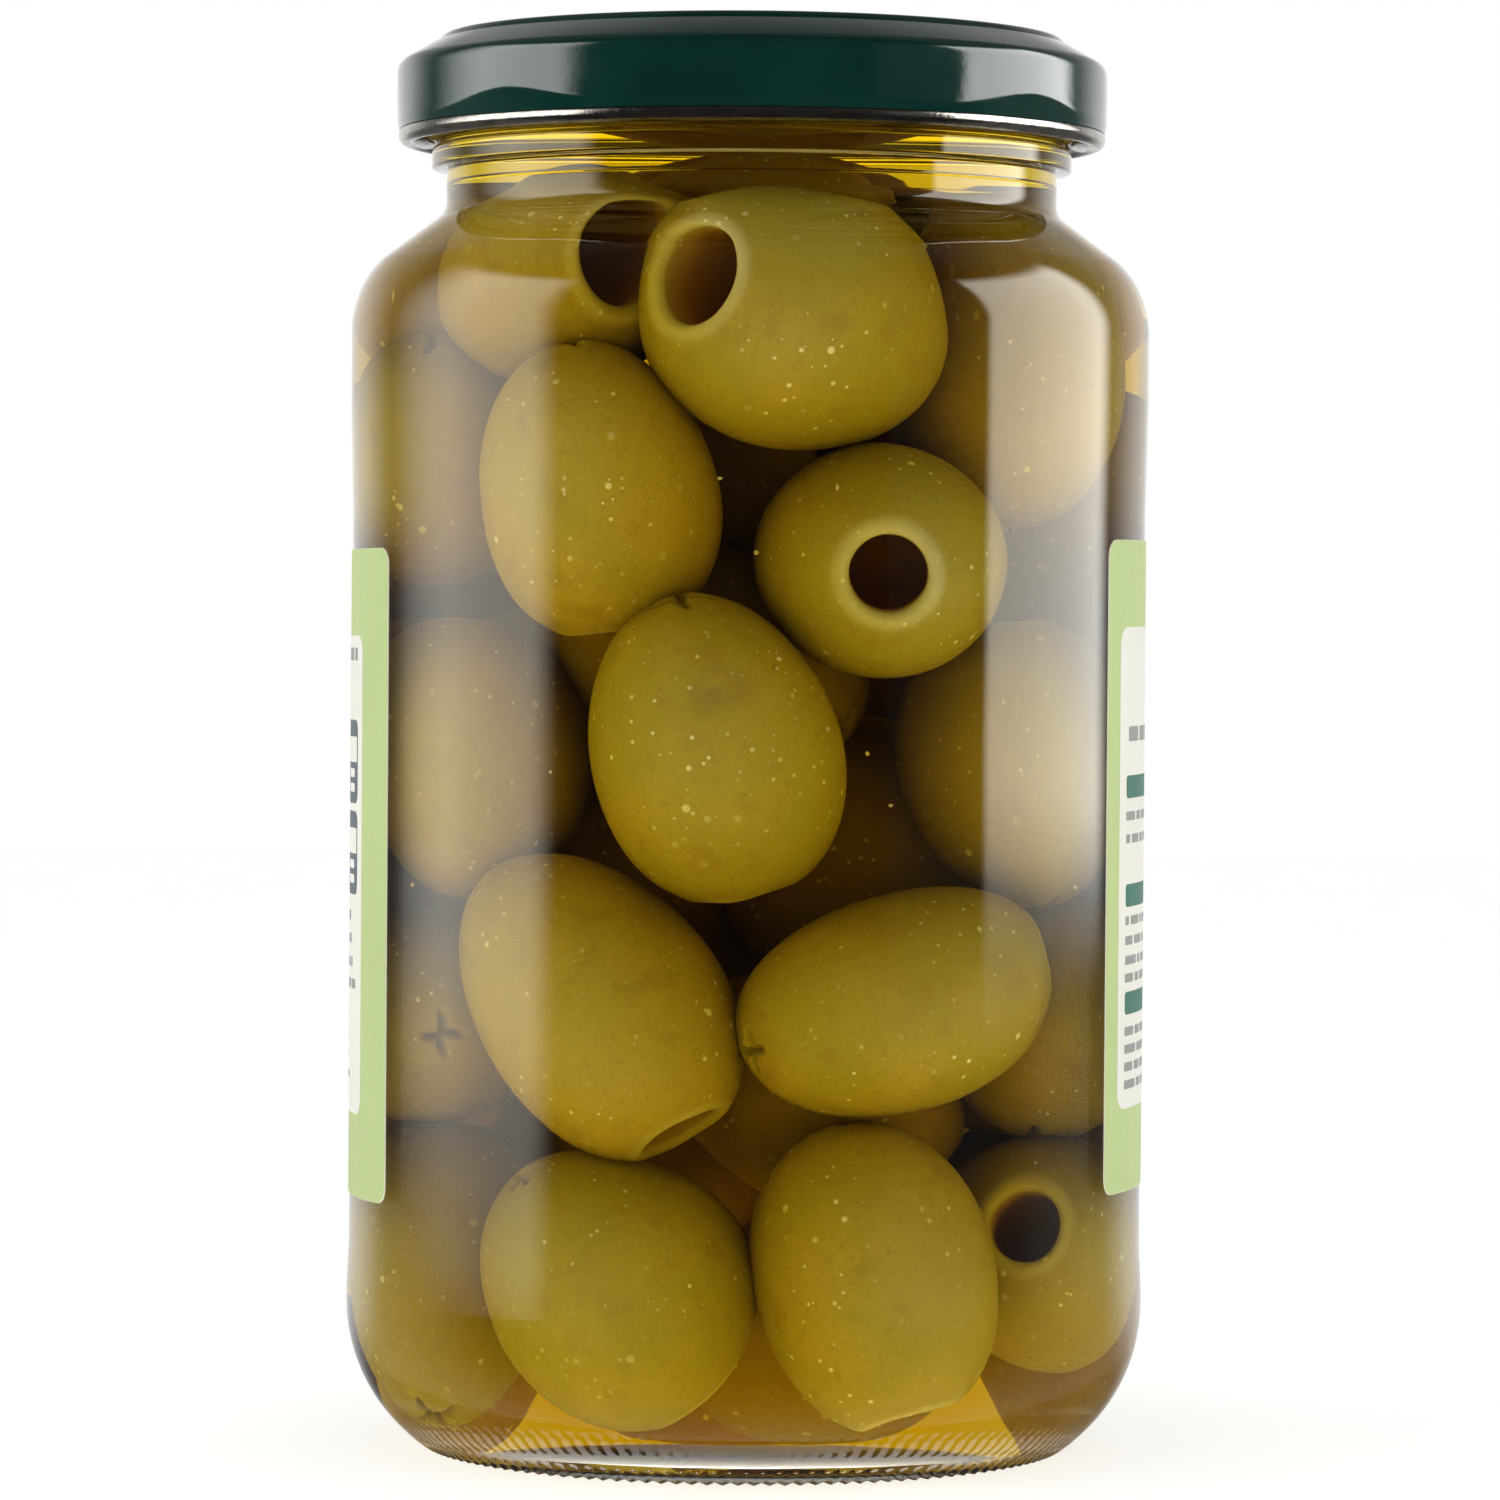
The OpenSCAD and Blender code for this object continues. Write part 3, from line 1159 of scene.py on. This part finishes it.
@dataclass
class OlivePack:
    """All the olives in the jar: the ones in their seats, and the ones that settle among them."""

    jar: GlassJar
    free_count: int = 18
    lengths: Point = (25.0, 30.0)
    widths: Point = (20.5, 23.5)
    rounds: int = 400
    seed: int = 3
    seat_seed: int = 100
    free_seed: int = 300
    end_share: float = 0.43
    give: float = 0.22
    twist: float = 0.5
    wall_gap: float = 0.4
    wall_push: float = 0.6
    floor_z: float = 5.6
    ceiling_z: float = 128.5
    low_zone: float = 34.0
    nearest: Point = (7.0, -9.0)
    back_push: float = 0.15
    sink: float = 0.03
    fine: tuple[int, int] = (48, 76)
    coarse: tuple[int, int] = (34, 52)
    crease: float = 80.0
    seated: list[Olive] = field(default_factory=list)
    free: list[Olive] = field(default_factory=list)

    def take_seats(self) -> None:
        """Put the olives that have a seat in it."""
        for i, seat in enumerate(FRONT_SEATS + HIDDEN_SEATS):
            reach = self.wall_radius(seat.height) - seat.inset
            turn = from_front(seat.azimuth)
            at = np.array([reach * math.cos(turn), reach * math.sin(turn), seat.height])
            hole, number = np.array(seat.hole), self.seat_seed + i
            olive = Olive(seat.length, seat.width, at, hole, number, seat.blemish, seat.bore)
            self.seated.append(olive)

    def wall_radius(self, height: float) -> float:
        """Radius of the glass's inside at a height.

        Args:
            height: The height.

        Returns:
            The radius.
        """
        side = [p for p in self.jar.inside() if p[0] > 27]
        return float(np.interp(height, [p[1] for p in side], [p[0] for p in side]))

    def settle(self) -> None:
        """Let the free olives push each other apart until they lie in the jar."""
        rng = np.random.default_rng(self.seed)
        count = self.free_count
        fixed = len(self.seated)
        lengths = np.array([o.length for o in self.seated] + list(rng.uniform(*self.lengths, count)))
        widths = np.array([o.width for o in self.seated] + list(rng.uniform(*self.widths, count)))
        places = np.zeros((fixed + count, 3))
        axes = rng.normal(size=(fixed + count, 3))
        for i, olive in enumerate(self.seated):
            places[i] = olive.at
            axes[i] = olive.hole
        places[fixed:, 0] = rng.uniform(-20, 20, count)
        places[fixed:, 1] = rng.uniform(-6, 24, count)
        places[fixed:, 2] = np.linspace(16, 120, count)
        axes /= np.linalg.norm(axes, axis=1, keepdims=True)
        for _ in range(self.rounds):
            self.relax(places, axes, lengths, widths, fixed)
        for i in range(fixed, fixed + count):
            olive = Olive(lengths[i], widths[i], places[i], axes[i], self.free_seed + i)
            self.free.append(olive)

    def relax(
        self, places: np.ndarray, axes: np.ndarray, lengths: np.ndarray, widths: np.ndarray, fixed: int
    ) -> None:
        """Push overlapping olives apart once, each standing for three balls along its axis.

        Args:
            places: Middles of the olives, which it changes.
            axes: Their axes, which it turns.
            lengths: Their lengths.
            widths: Their widths.
            fixed: How many of them, from the first, stay put.
        """
        end_r = widths * self.end_share
        arm = lengths / 2 - end_r
        spots = np.stack([places - axes * arm[:, None], places, places + axes * arm[:, None]], 1)
        sizes = np.stack([end_r, widths / 2, end_r], 1)
        flat, size = spots.reshape(-1, 3), sizes.reshape(-1)
        owner = np.repeat(np.arange(len(places)), 3)
        gap = flat[:, None] - flat[None]
        far = np.linalg.norm(gap, axis=2) + 1e-9
        overlap = np.clip(size[:, None] + size[None] - far, 0, None)
        overlap[owner[:, None] == owner[None]] = 0
        push = (gap / far[:, :, None] * overlap[:, :, None]).sum(1) * self.give
        radius = np.hypot(flat[:, 0], flat[:, 1]) + 1e-9
        limit = np.array([self.wall_radius(z) for z in flat[:, 2]]) - size - self.wall_gap
        out = np.clip(radius - limit, 0, None)
        push[:, :2] -= flat[:, :2] / radius[:, None] * out[:, None] * self.wall_push
        push[:, 2] += np.clip(self.floor_z + size - flat[:, 2], 0, None) * self.wall_push
        push[:, 2] -= np.clip(flat[:, 2] + size - self.ceiling_z, 0, None) * self.wall_push
        nearest = np.where(flat[:, 2] < self.low_zone, *self.nearest)
        push[:, 1] += np.clip(nearest - flat[:, 1], 0, None) * self.back_push
        push[:, 2] -= self.sink
        push = push.reshape(-1, 3, 3)
        move = push.sum(1)
        twist = (push[:, 2] - push[:, 0]) / (2 * arm[:, None]) * self.twist
        places[fixed:] += move[fixed:]
        axes[fixed:] += twist[fixed:]
        axes /= np.linalg.norm(axes, axis=1, keepdims=True)

    def build(self) -> list[bpy.types.Object]:
        """Make the olives, in two pieces to keep each under 200,000 triangles.

        Returns:
            The olives at the glass that show from the front, and all the ones behind them.
        """
        self.take_seats()
        self.settle()
        flesh = OliveFlesh().material()
        seated = [olive.shape(*self.fine) for olive in self.seated]
        free = [olive.shape(*self.coarse) for olive in self.free]
        shown = len(FRONT_SEATS)
        near = Shape.joined(seated[:shown])
        deep = Shape.joined(seated[shown:] + free)
        return [
            near.piece("olives_at_glass", [flesh], self.crease),
            deep.piece("olives_behind", [flesh], self.crease),
        ]


@dataclass
class LooseBits:
    """Crumbs of flesh floating in the brine near the glass."""

    count: int = 50
    seed: int = 21
    sizes: Point = (0.1, 0.26)
    turns: Point = (-85.0, 85.0)
    depths: Point = (0.5, 5.0)
    heights: Point = (12.0, 112.0)

    def build(self, jar: GlassJar) -> bpy.types.Object:
        """Make the crumbs as one mesh of small uneven lumps.

        Args:
            jar: The jar that holds them.

        Returns:
            The piece.
        """
        rng = np.random.default_rng(self.seed)
        bits = []
        for _ in range(self.count):
            size = rng.uniform(*self.sizes)
            turn = from_front(rng.uniform(*self.turns))
            reach = jar.inner_r - rng.uniform(*self.depths)
            at = np.array([reach * math.cos(turn), reach * math.sin(turn), rng.uniform(*self.heights)])
            outline = arc(0.0, 0.0, size, -90, 90, 6)
            outline[0], outline[-1] = (0.0, -size), (0.0, size)
            lump = revolved(outline, 8)
            lump.corners *= rng.uniform(0.6, 1.4, 3) * (1 + rng.normal(size=(len(lump.corners), 1)) * 0.12)
            bits.append(lump.place(np.eye(3), at))
        return Shape.joined(bits).piece("loose_crumbs", [Crumb().material()])


# ---------------------------------------------------------------- the lid


@dataclass
class TwistLid:
    """The pressed-steel lid: lacquered face, bare curl and the lugs that grip the threads."""

    segments: int = 288
    total_h: float = 144.8
    skirt_r: float = 36.5
    sheet: float = 0.25
    curl: Point = (35.62, 134.55)
    edge_z: float = 135.1
    curl_r: float = 0.95
    lugs: int = 4
    first_lug: float = -92.0
    lug_span: float = 26.0
    lug_in: float = 2.6
    button_r: float = 11.0
    hollows: tuple[float, ...] = (-42.0, 51.0, 139.0, -131.0)
    hollow_rise: float = 1.7
    hollow_half: float = 0.21
    panel_depth: float = 0.8
    ring_step: float = 0.75
    corner_r: float = 1.6
    corner_drop: float = 3.9
    green: Lacquer = Lacquer((0.001, 0.0175, 0.0135))
    lining: Lacquer = Lacquer((0.52, 0.42, 0.2), 0.3)

    def face(self) -> list[Point]:
        """Outline of the upper face, from the middle of the button to the skirt's lower edge."""
        top = self.total_h
        flat, slope = top - self.panel_depth, top - self.ring_step
        steps = 16
        button = []
        for i in range(steps + 1):
            dip = 0.25 * (1 + math.cos(math.pi * i / steps))
            button.append((self.button_r * i / steps, flat - dip))
        ring = [
            (26.9, flat), (27.3, flat + 0.04), (27.8, flat + 0.38), (28.1, top - 0.12), (28.5, top),
            (31.4, top), (31.75, top - 0.07), (32.0, top - 0.24),
            (32.25, slope + 0.12), (32.6, slope - 0.02),
        ]
        corner = arc(self.skirt_r - self.corner_r, top - self.corner_drop, self.corner_r, 62, 0, 12)
        skirt = filled([corner[-1], (self.skirt_r + 0.02, self.edge_z)], 0.3)[1:]
        return button + filled([button[-1], ring[0]], 3.0)[1:] + ring[1:] + corner + skirt

    def ripple(
        self, radii: np.ndarray, heights: np.ndarray, angles: np.ndarray
    ) -> tuple[np.ndarray, np.ndarray]:
        """Draw the skirt in above its curl and at the lugs, and leave the closing machine's waves.

        Args:
            radii: Radii by ring and segment.
            heights: Heights by ring and segment.
            angles: Plan angles by segment, in radians.

        Returns:
            The changed radii and heights.
        """
        low = smooth(heights, 139.0, 134.6) * (radii > 34)
        start = self.curl[1] + 1.4
        for middle in self.hollows:
            away = turned_from(angles, from_front(middle))
            start = start + self.hollow_rise * np.exp(-((away / self.hollow_half) ** 2))
        bend = np.clip(start - np.maximum(heights, self.edge_z), 0, None) * (radii > 34)
        drawn = np.zeros_like(angles)
        for i in range(self.lugs):
            middle = math.radians(self.first_lug + i * 360 / self.lugs)
            away = np.abs(turned_from(angles, middle))
            drawn = drawn + smooth(np.degrees(away), self.lug_span * 0.95, self.lug_span * 0.4)
        waves = 0.02 * np.sin(11 * angles + 0.7) + 0.015 * np.sin(17 * angles)
        return radii - low * (0.05 * drawn - waves) - 0.26 * bend * bend / (bend + 0.35), heights

    def build(self) -> list[bpy.types.Object]:
        """Make the lid.

        Returns:
            Its pieces: the lacquered shell, the lining under it, the bare curl and the lugs.
        """
        face = self.face()
        middle = beside(face, self.sheet * 0.5)
        under = beside(face, self.sheet)
        shell = revolved(face + middle[::-1], self.segments, self.ripple)
        lining = revolved(beside(face, self.sheet * 0.52) + under[::-1], self.segments, self.ripple)
        ring = arc(*self.curl, self.curl_r, -180, 180, 32)[:-1]
        curl = revolved(ring, self.segments, self.ripple, loop=True)
        tin = Tinplate().material()
        lugs = Shape.joined([self.lug(self.first_lug + i * 360 / self.lugs) for i in range(self.lugs)])
        return [
            shell.piece("lid_shell", [self.green.material("lid_green")]),
            lining.piece("lid_lining", [self.lining.material("lid_lining")]),
            curl.piece("lid_curl", [tin]),
            lugs.piece("lid_lugs", [tin]),
        ]

    def lug(self, middle: float) -> Shape:
        """Build one lug, which swells out of the curl and fades back into it.

        Args:
            middle: Its plan angle.

        Returns:
            The shape.
        """
        steps, around = 26, 20
        corners, faces = [], []
        for i in range(steps + 1):
            share = 2 * i / steps - 1
            angle = math.radians(middle + share * self.lug_span / 2)
            swell = max(0.02, math.cos(share * math.pi / 2)) ** 0.6
            reach = self.lug_in * swell
            for j in range(around):
                turn = 2 * math.pi * j / around
                x = self.curl[0] - 0.3 - reach / 2 + (reach / 2 + 0.25) * math.cos(turn)
                z = self.curl[1] - 0.35 + 0.6 * (0.45 + 0.55 * swell) * math.sin(turn)
                corners.append((x * math.cos(angle), x * math.sin(angle), z))
        for i in range(steps):
            for j in range(around):
                k = (j + 1) % around
                faces.append((i * around + j, (i + 1) * around + j, (i + 1) * around + k, i * around + k))
        faces.append(tuple(range(around)))
        faces.append(tuple(steps * around + j for j in reversed(range(around))))
        return Shape(np.array(corners), faces)


# ---------------------------------------------------------------- the label


@dataclass(frozen=True)
class PrintField:
    """One field of flat ink: the stretch round the jar and the heights that it covers."""

    ink: Ink
    start: float
    end: float
    low: float
    high: float
    corner: float = 0.3
    layer: int = 2


@dataclass
class WrapLabel:
    """The paper label round the back of the jar, with its print as fields of colour."""

    start: float = 62.0
    end: float = 298.0
    low: float = 26.8
    high: float = 92.7
    tilt: float = 1.05
    inner_r: float = 40.76
    paper_t: float = 0.12
    ink_t: float = 0.012
    corner: float = 1.7
    seed: int = 5
    overlap: float = 0.004
    bars: Point = (1.6, 6.5)
    bar_gap: float = 1.1
    shortest: float = 1.5
    paper: Paper = Paper((0.72, 0.70, 0.64))

    def strip(
        self, start: float, end: float, low: float, high: float, inner: float, outer: float, corner: float
    ) -> Shape:
        """Build a thin curved patch with round corners.

        Args:
            start: Where it starts round the jar.
            end: Where it ends.
            low: Height of its lower edge.
            high: Height of its upper edge.
            inner: Radius of its inner face.
            outer: Radius of its outer face.
            corner: Radius of its corners.

        Returns:
            The shape.
        """
        bend = math.degrees(corner / outer)
        turn = [start + bend * (1 - math.cos(math.radians(a))) for a in range(0, 90, 15)]
        count = max(1, round((end - start - 2 * bend) / 2.0))
        middle = [start + bend + (end - start - 2 * bend) * i / count for i in range(count + 1)]
        columns = turn + middle + [start + end - a for a in reversed(turn)]
        corners, faces = [], []
        for azimuth in columns:
            edge = min(azimuth - start, end - azimuth) / bend if bend else 1.0
            inset = corner * (1 - math.sqrt(max(0.0, 1 - (1 - min(1.0, edge)) ** 2)))
            angle = from_front(azimuth)
            x, y = math.cos(angle), math.sin(angle)
            lift = outer * x * math.tan(math.radians(self.tilt))
            inset = min(inset, (high - low) / 2 - 0.002)
            bottom, top = low + inset, high - inset
            for radius, z in ((inner, bottom), (outer, bottom), (outer, top), (inner, top)):
                corners.append((radius * x, radius * y, z + lift))
        for i in range(len(columns) - 1):
            for j in range(4):
                k = (j + 1) % 4
                faces.append((4 * i + j, 4 * i + 4 + j, 4 * i + 4 + k, 4 * i + k))
        last = 4 * (len(columns) - 1)
        faces.append((0, 1, 2, 3))
        faces.append((last + 3, last + 2, last + 1, last))
        return Shape(np.array(corners), faces)

    def small_print(
        self, rng: np.random.Generator, start: float, end: float, z: float, tall: float
    ) -> list[PrintField]:
        """A row of short grey bars in place of a line of words.

        Args:
            rng: Gives the bars' lengths.
            start: Where the row starts round the jar.
            end: Where it ends.
            z: Height of the row's middle.
            tall: Height of the bars.

        Returns:
            The bars.
        """
        bars = []
        here = start
        while here < end - self.shortest:
            there = min(end, here + rng.uniform(*self.bars))
            bars.append(PrintField(Ink.GREY, here, there, z - tall / 2, z + tall / 2, 0.15, 3))
            here = there + self.bar_gap
        return bars

    def right_side(self, rng: np.random.Generator) -> list[PrintField]:
        """Headings and rows of small print by the right end of the label.

        Args:
            rng: Gives the rows' lengths.

        Returns:
            The fields.
        """
        fields = self.small_print(rng, 70.5, 112, 73.1, 1.5)
        for top in (68.9, 57.9, 47.0):
            fields.append(PrintField(Ink.FOREST, 69.5, 100, top - 2.3, top, 0.5, 3))
        rows = [64.8, 62.5, 54.2, 52.2, 50.2, 48.4, 43.0, 41.2, 39.4, 37.6]
        for row in rows:
            fields += self.small_print(rng, 69.5, 112 + rng.uniform(-8, 2), row, 0.9)
        return fields

    def left_side(self, rng: np.random.Generator) -> list[PrintField]:
        """Two boxes of plain symbols and rows of small print by the left end of the label.

        Args:
            rng: Gives the rows' lengths.

        Returns:
            The fields.
        """
        fields = self.small_print(rng, 252, 284.5, 82.0, 1.3)
        for top in (75.3, 66.0):
            for i in range(2):
                left, right = 263 + 11.5 * i, 273 + 11.5 * i
                fields.append(PrintField(Ink.SLATE, left, right, top - 8.5, top, 1.2, 3))
                fields.append(PrintField(Ink.PANEL, left + 0.5, right - 0.5, top - 4.3, top - 1.7, 0.2, 4))
                for j in range(2):
                    z = top - 5.4 - 1.5 * j
                    fields.append(PrintField(Ink.PANEL, left + 2.2, right - 2.2, z - 0.45, z + 0.45, 0.4, 4))
        for row in (55.3, 53.0, 50.6, 48.4):
            fields += self.small_print(rng, 250, 285 - rng.uniform(0, 6), row, 1.0)
        for row in (45.0, 43.0, 41.0, 39.0):
            fields += self.small_print(rng, 250, 278 - rng.uniform(0, 8), row, 0.8)
        return fields

    def front_side(self) -> list[PrintField]:
        """A plain design on the label's middle, round the back of the jar: bands and olive shapes."""
        fields = [
            PrintField(Ink.FOREST, 128, 232, 60.5, 79.5, 3.0, 3),
            PrintField(Ink.LEAF, 130, 230, 57.0, 59.3, 0.6, 3),
            PrintField(Ink.PANEL, 134, 226, 62.3, 63.1, 0.3, 4),
            PrintField(Ink.PANEL, 134, 226, 76.9, 77.7, 0.3, 4),
            PrintField(Ink.FOREST, 150, 210, 39.0, 42.5, 1.0, 3),
        ]
        for i, middle in enumerate((152, 171, 190, 209)):
            z = 69.7 + i % 2
            fields.append(PrintField(Ink.LEAF, middle - 6.8, middle + 6.8, z - 4.5, z + 4.5, 4.4, 4))
            fields.append(PrintField(Ink.FOREST, middle - 1.9, middle + 1.9, z - 1.3, z + 1.3, 1.25, 5))
        for i in range(3):
            z = 54.1 - 3.4 * i
            fields.append(PrintField(Ink.LEAF, 140 + 4 * i, 220 - 4 * i, z - 0.5, z + 0.5, 0.4, 3))
        return fields

    def build(self) -> list[bpy.types.Object]:
        """Make the label.

        Returns:
            Its pieces: the paper, and one piece for each ink.
        """
        rng = np.random.default_rng(self.seed)
        outer = self.inner_r + self.paper_t
        paper = self.strip(self.start, self.end, self.low, self.high, self.inner_r, outer, self.corner)
        pieces = [paper.piece("label_paper", [self.paper.material("label_paper")])]
        low, high = self.low + 0.03, self.high - 0.03
        fields = [
            PrintField(Ink.BORDER, self.start + 0.05, self.end - 0.05, low, high, 1.68, 1),
            PrintField(Ink.PANEL, 66.5, 287.3, 35.2, 83.9, 1.8, 2),
        ]
        fields += self.right_side(rng) + self.left_side(rng) + self.front_side()
        for ink in Ink:
            shapes = []
            for f in fields:
                if f.ink is ink:
                    foot, top = outer - self.overlap, outer + self.ink_t * f.layer
                    shapes.append(self.strip(f.start, f.end, f.low, f.high, foot, top, f.corner))
            name = "label_" + ink.name.lower()
            pieces.append(Shape.joined(shapes).piece(name, [Paper(ink.value).material(name)]))
        return pieces


# ---------------------------------------------------------------- the studio


@dataclass(frozen=True)
class SoftBox:
    """One soft box that faces the jar. Its lengths are metres."""

    name: str
    azimuth: float
    width: float
    radiance: float
    away: float = 0.55
    low: float = 0.03
    high: float = 0.53

    def hang(self) -> None:
        """Make the lamp. Its radiance counts the white surround as 1."""
        tall = self.high - self.low
        data = bpy.data.lights.new(self.name, "AREA")
        data.shape = "RECTANGLE"
        data.size = self.width
        data.size_y = tall
        data.energy = self.radiance * math.pi * self.width * tall
        lamp = bpy.data.objects.new(self.name, data)
        bpy.context.scene.collection.objects.link(lamp)
        turn = from_front(self.azimuth)
        x, y = self.away * math.cos(turn), self.away * math.sin(turn)
        lamp.location = (x, y, (self.low + self.high) / 2)
        lamp.rotation_euler = Vector((-x, -y, 0.0)).to_track_quat("-Z", "Y").to_euler()
        lamp.visible_camera = False
        lamp.visible_glossy = False


@dataclass(frozen=True)
class MirrorPanel:
    """One soft-edged panel as it mirrors in glass and lacquer.

    Its turns are the angles from the front where it begins, is full, is full to, and ends. Its
    foot and top are the rises between which its lower and upper edges fade.
    """

    turns: tuple[float, float, float, float]
    foot: Point
    glow: float
    top: Point = (0.66, 0.56)

    def shade(self, tree: Tree, around: object, height: object) -> bpy.types.NodeSocket:
        """Lay the panel's nodes.

        Args:
            tree: The surround's nodes.
            around: The way's angle round the jar from the front, in radians, towards the panel.
            height: The way's rise.

        Returns:
            A socket that is the panel's glow on it and 0 off it.
        """
        begin, full, full_to, end = (math.radians(t) for t in self.turns)
        wide = tree.math("MULTIPLY", tree.step(around, begin, full), tree.step(around, end, full_to))
        tall = tree.math("MULTIPLY", tree.step(height, *self.foot), tree.step(height, *self.top))
        return tree.math("MULTIPLY", tree.math("MULTIPLY", wide, tall), self.glow)


@dataclass
class Studio:
    """A plain pale floor, soft boxes at both sides, a soft surround and the camera.

    The camera's place is in metres, and the floor's reach and height are in millimetres.
    """

    distance: float = 0.646
    eye: float = 0.086
    aim: float = 0.0716
    offset: float = 0.00015
    lens: float = 150.2
    roll: float = 0.42
    floor_reach: Point = (800.0, 1600.0)
    floor_z: float = -0.3
    floor_lift: float = 0.62
    floor_glow: float = 1.5
    right_box: SoftBox = SoftBox("softbox_right", 78, 0.56, 0.65)
    left_box: SoftBox = SoftBox("softbox_left", -72, 0.60, 1.15)
    right_panel: MirrorPanel = MirrorPanel((70, 74, 118, 128), (-0.055, -0.03), 6.0)
    left_panel: MirrorPanel = MirrorPanel((55, 66, 92, 126), (-0.085, -0.04), 4.1)
    faint_panel: MirrorPanel = MirrorPanel((39, 41, 70, 74), (-0.2, 0.1), 0.08)

    def camera(self) -> None:
        """Place the camera before the jar, a little above its middle."""
        data = bpy.data.cameras.new("camera")
        data.lens = self.lens
        data.sensor_width = 36.0
        data.clip_start = 0.01
        camera = bpy.data.objects.new("camera", data)
        bpy.context.scene.collection.objects.link(camera)
        camera.location = (self.offset, -self.distance, self.eye)
        look = Vector((self.offset, 0.0, self.aim)) - camera.location
        turn = look.to_track_quat("-Z", "Y").to_euler()
        camera.rotation_euler = (turn.x, turn.y + math.radians(-self.roll), turn.z)
        bpy.context.scene.camera = camera

    def surround(self) -> None:
        """White behind the jar, a soft glow that lights it, and the panels that mirror in it."""
        world = bpy.data.worlds.new("surround")
        bpy.context.scene.world = world
        tree = Tree(world)
        way = tree.add("ShaderNodeTexCoord").outputs["Generated"]
        axes = tree.add("ShaderNodeSeparateXYZ", Vector=way).outputs
        path = tree.add("ShaderNodeLightPath").outputs
        ahead = tree.math("MULTIPLY", axes[1], -1.0)
        around = tree.math("ARCTAN2", axes[0], ahead)
        leftwards = tree.math("MULTIPLY", around, -1.0)
        front = tree.step(axes[1], 0.18, -0.18)
        light = tree.math("MULTIPLY", self.light(tree, front, axes[2]), self.above_floor(tree, axes[2]))
        right = self.right_panel.shade(tree, around, axes[2])
        left = self.left_panel.shade(tree, leftwards, axes[2])
        faint = self.faint_panel.shade(tree, around, axes[2])
        back = tree.math("MULTIPLY", tree.step(axes[1], 0.55, 0.85), tree.step(axes[2], -0.3, -0.05))
        back = tree.math("MULTIPLY", back, tree.step(axes[2], 0.12, 0.4, (0.9, 0.3)))
        mirror = tree.math("ADD", tree.math("ADD", right, left), tree.math("ADD", back, faint))
        mirror = tree.math("ADD", mirror, tree.step(front, 0.0, 1.0, (0.15, 0.03)))
        bounced = tree.math("SUBTRACT", 1.0, path["Is Transmission Ray"])
        turned = tree.math("MULTIPLY", path["Is Glossy Ray"], bounced)
        level = tree.blend(turned, light, mirror)
        level = tree.blend(path["Is Camera Ray"], level, 1.0)
        shade = tree.add("ShaderNodeBackground", Color=(1.0, 1.0, 1.0), Strength=level)
        tree.add("ShaderNodeOutputWorld", Surface=shade.outputs[0])

    def light(self, tree: Tree, front: object, rise: object) -> bpy.types.NodeSocket:
        """How strongly the surround lights the jar from each way.

        Args:
            tree: The surround's nodes.
            front: A socket that is 1 before the jar and 0 behind it.
            rise: The way's rise.

        Returns:
            The level's socket.
        """
        high = tree.step(rise, 0.22, 0.6)
        behind = tree.step(high, 0.0, 1.0, (1.0, 0.25))
        ahead = tree.step(high, 0.0, 1.0, (0.25, 0.75))
        return tree.blend(front, behind, ahead)

    def above_floor(self, tree: Tree, rise: object) -> bpy.types.NodeSocket:
        """A tenth of the light under the floor's horizon, and all of it over that."""
        below = tree.step(rise, -0.01, -0.05)
        return tree.step(below, 0.0, 1.0, (1.0, 0.1))

    def floor(self) -> None:
        """Lay the plain pale floor."""
        shape = revolved([(reach, self.floor_z) for reach in (0.0, *self.floor_reach)], 96)
        shape.faces = [face[::-1] for face in shape.faces]
        material, tree = fresh("floor")
        speck = tree.step(tree.noise(30.0, 2.0), 0.3, 0.7)
        seen = tree.add("ShaderNodeLightPath").outputs["Is Camera Ray"]
        matt = tree.principled(
            Base_Color=tree.mix(speck, (0.66, 0.66, 0.65), (0.68, 0.68, 0.68)),
            Roughness=0.9,
            Specular_IOR_Level=0.1,
            Emission_Color=(1.0, 1.0, 1.0),
            Emission_Strength=tree.step(seen, 0.0, 1.0, (self.floor_glow, self.floor_lift)),
        )
        tree.show(matt)
        sheet = shape.piece("floor", [material])
        sheet.visible_glossy = False

    def build(self) -> None:
        """Set up the whole studio."""
        self.camera()
        self.surround()
        self.floor()
        self.right_box.hang()
        self.left_box.hang()
        bpy.context.scene.view_settings.view_transform = "Standard"
        light_paths = bpy.context.scene.cycles
        light_paths.max_bounces = 10
        light_paths.diffuse_bounces = 2
        light_paths.glossy_bounces = 3
        light_paths.transmission_bounces = 10
        light_paths.transparent_max_bounces = 12


# ---------------------------------------------------------------- putting it together


def keep(piece: bpy.types.Object, slot: str, *nodes: str) -> None:
    """Ride a piece on the jar's body, hide the CAD nodes that it stands for, and log its slot and those
    nodes.

    Args:
        piece: The piece.
        slot: The material slot that the log gives for it.
        *nodes: The CAD nodes that it stands for.
    """
    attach(piece, BODY)
    if nodes:
        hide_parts(*nodes)
    stands_for = ", ".join(nodes) or "no node"
    LOG.info("%s: %d faces, slot %s, for %s", piece.name, len(piece.data.polygons), slot, stands_for)


def main() -> None:
    """Build the studio and the jar, piece by piece."""
    logging.basicConfig(level=logging.INFO, format="%(name)s %(message)s")
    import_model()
    Studio().build()
    jar = GlassJar()
    fill = BrineFill(fill_z=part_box("brine")[1].z / MM)
    keep(jar.build(fill.fill_z), "glass", "jar")
    keep(fill.build(jar), "brine", "brine")
    for piece in OlivePack(jar).build():
        keep(piece, "olive")
    keep(LooseBits().build(jar), "olive")
    for piece in TwistLid().build():
        keep(piece, "lid_lacquer", "lid")
    for piece in WrapLabel().build():
        keep(piece, "label_paper", "label")


if __name__ == "__main__":
    main()
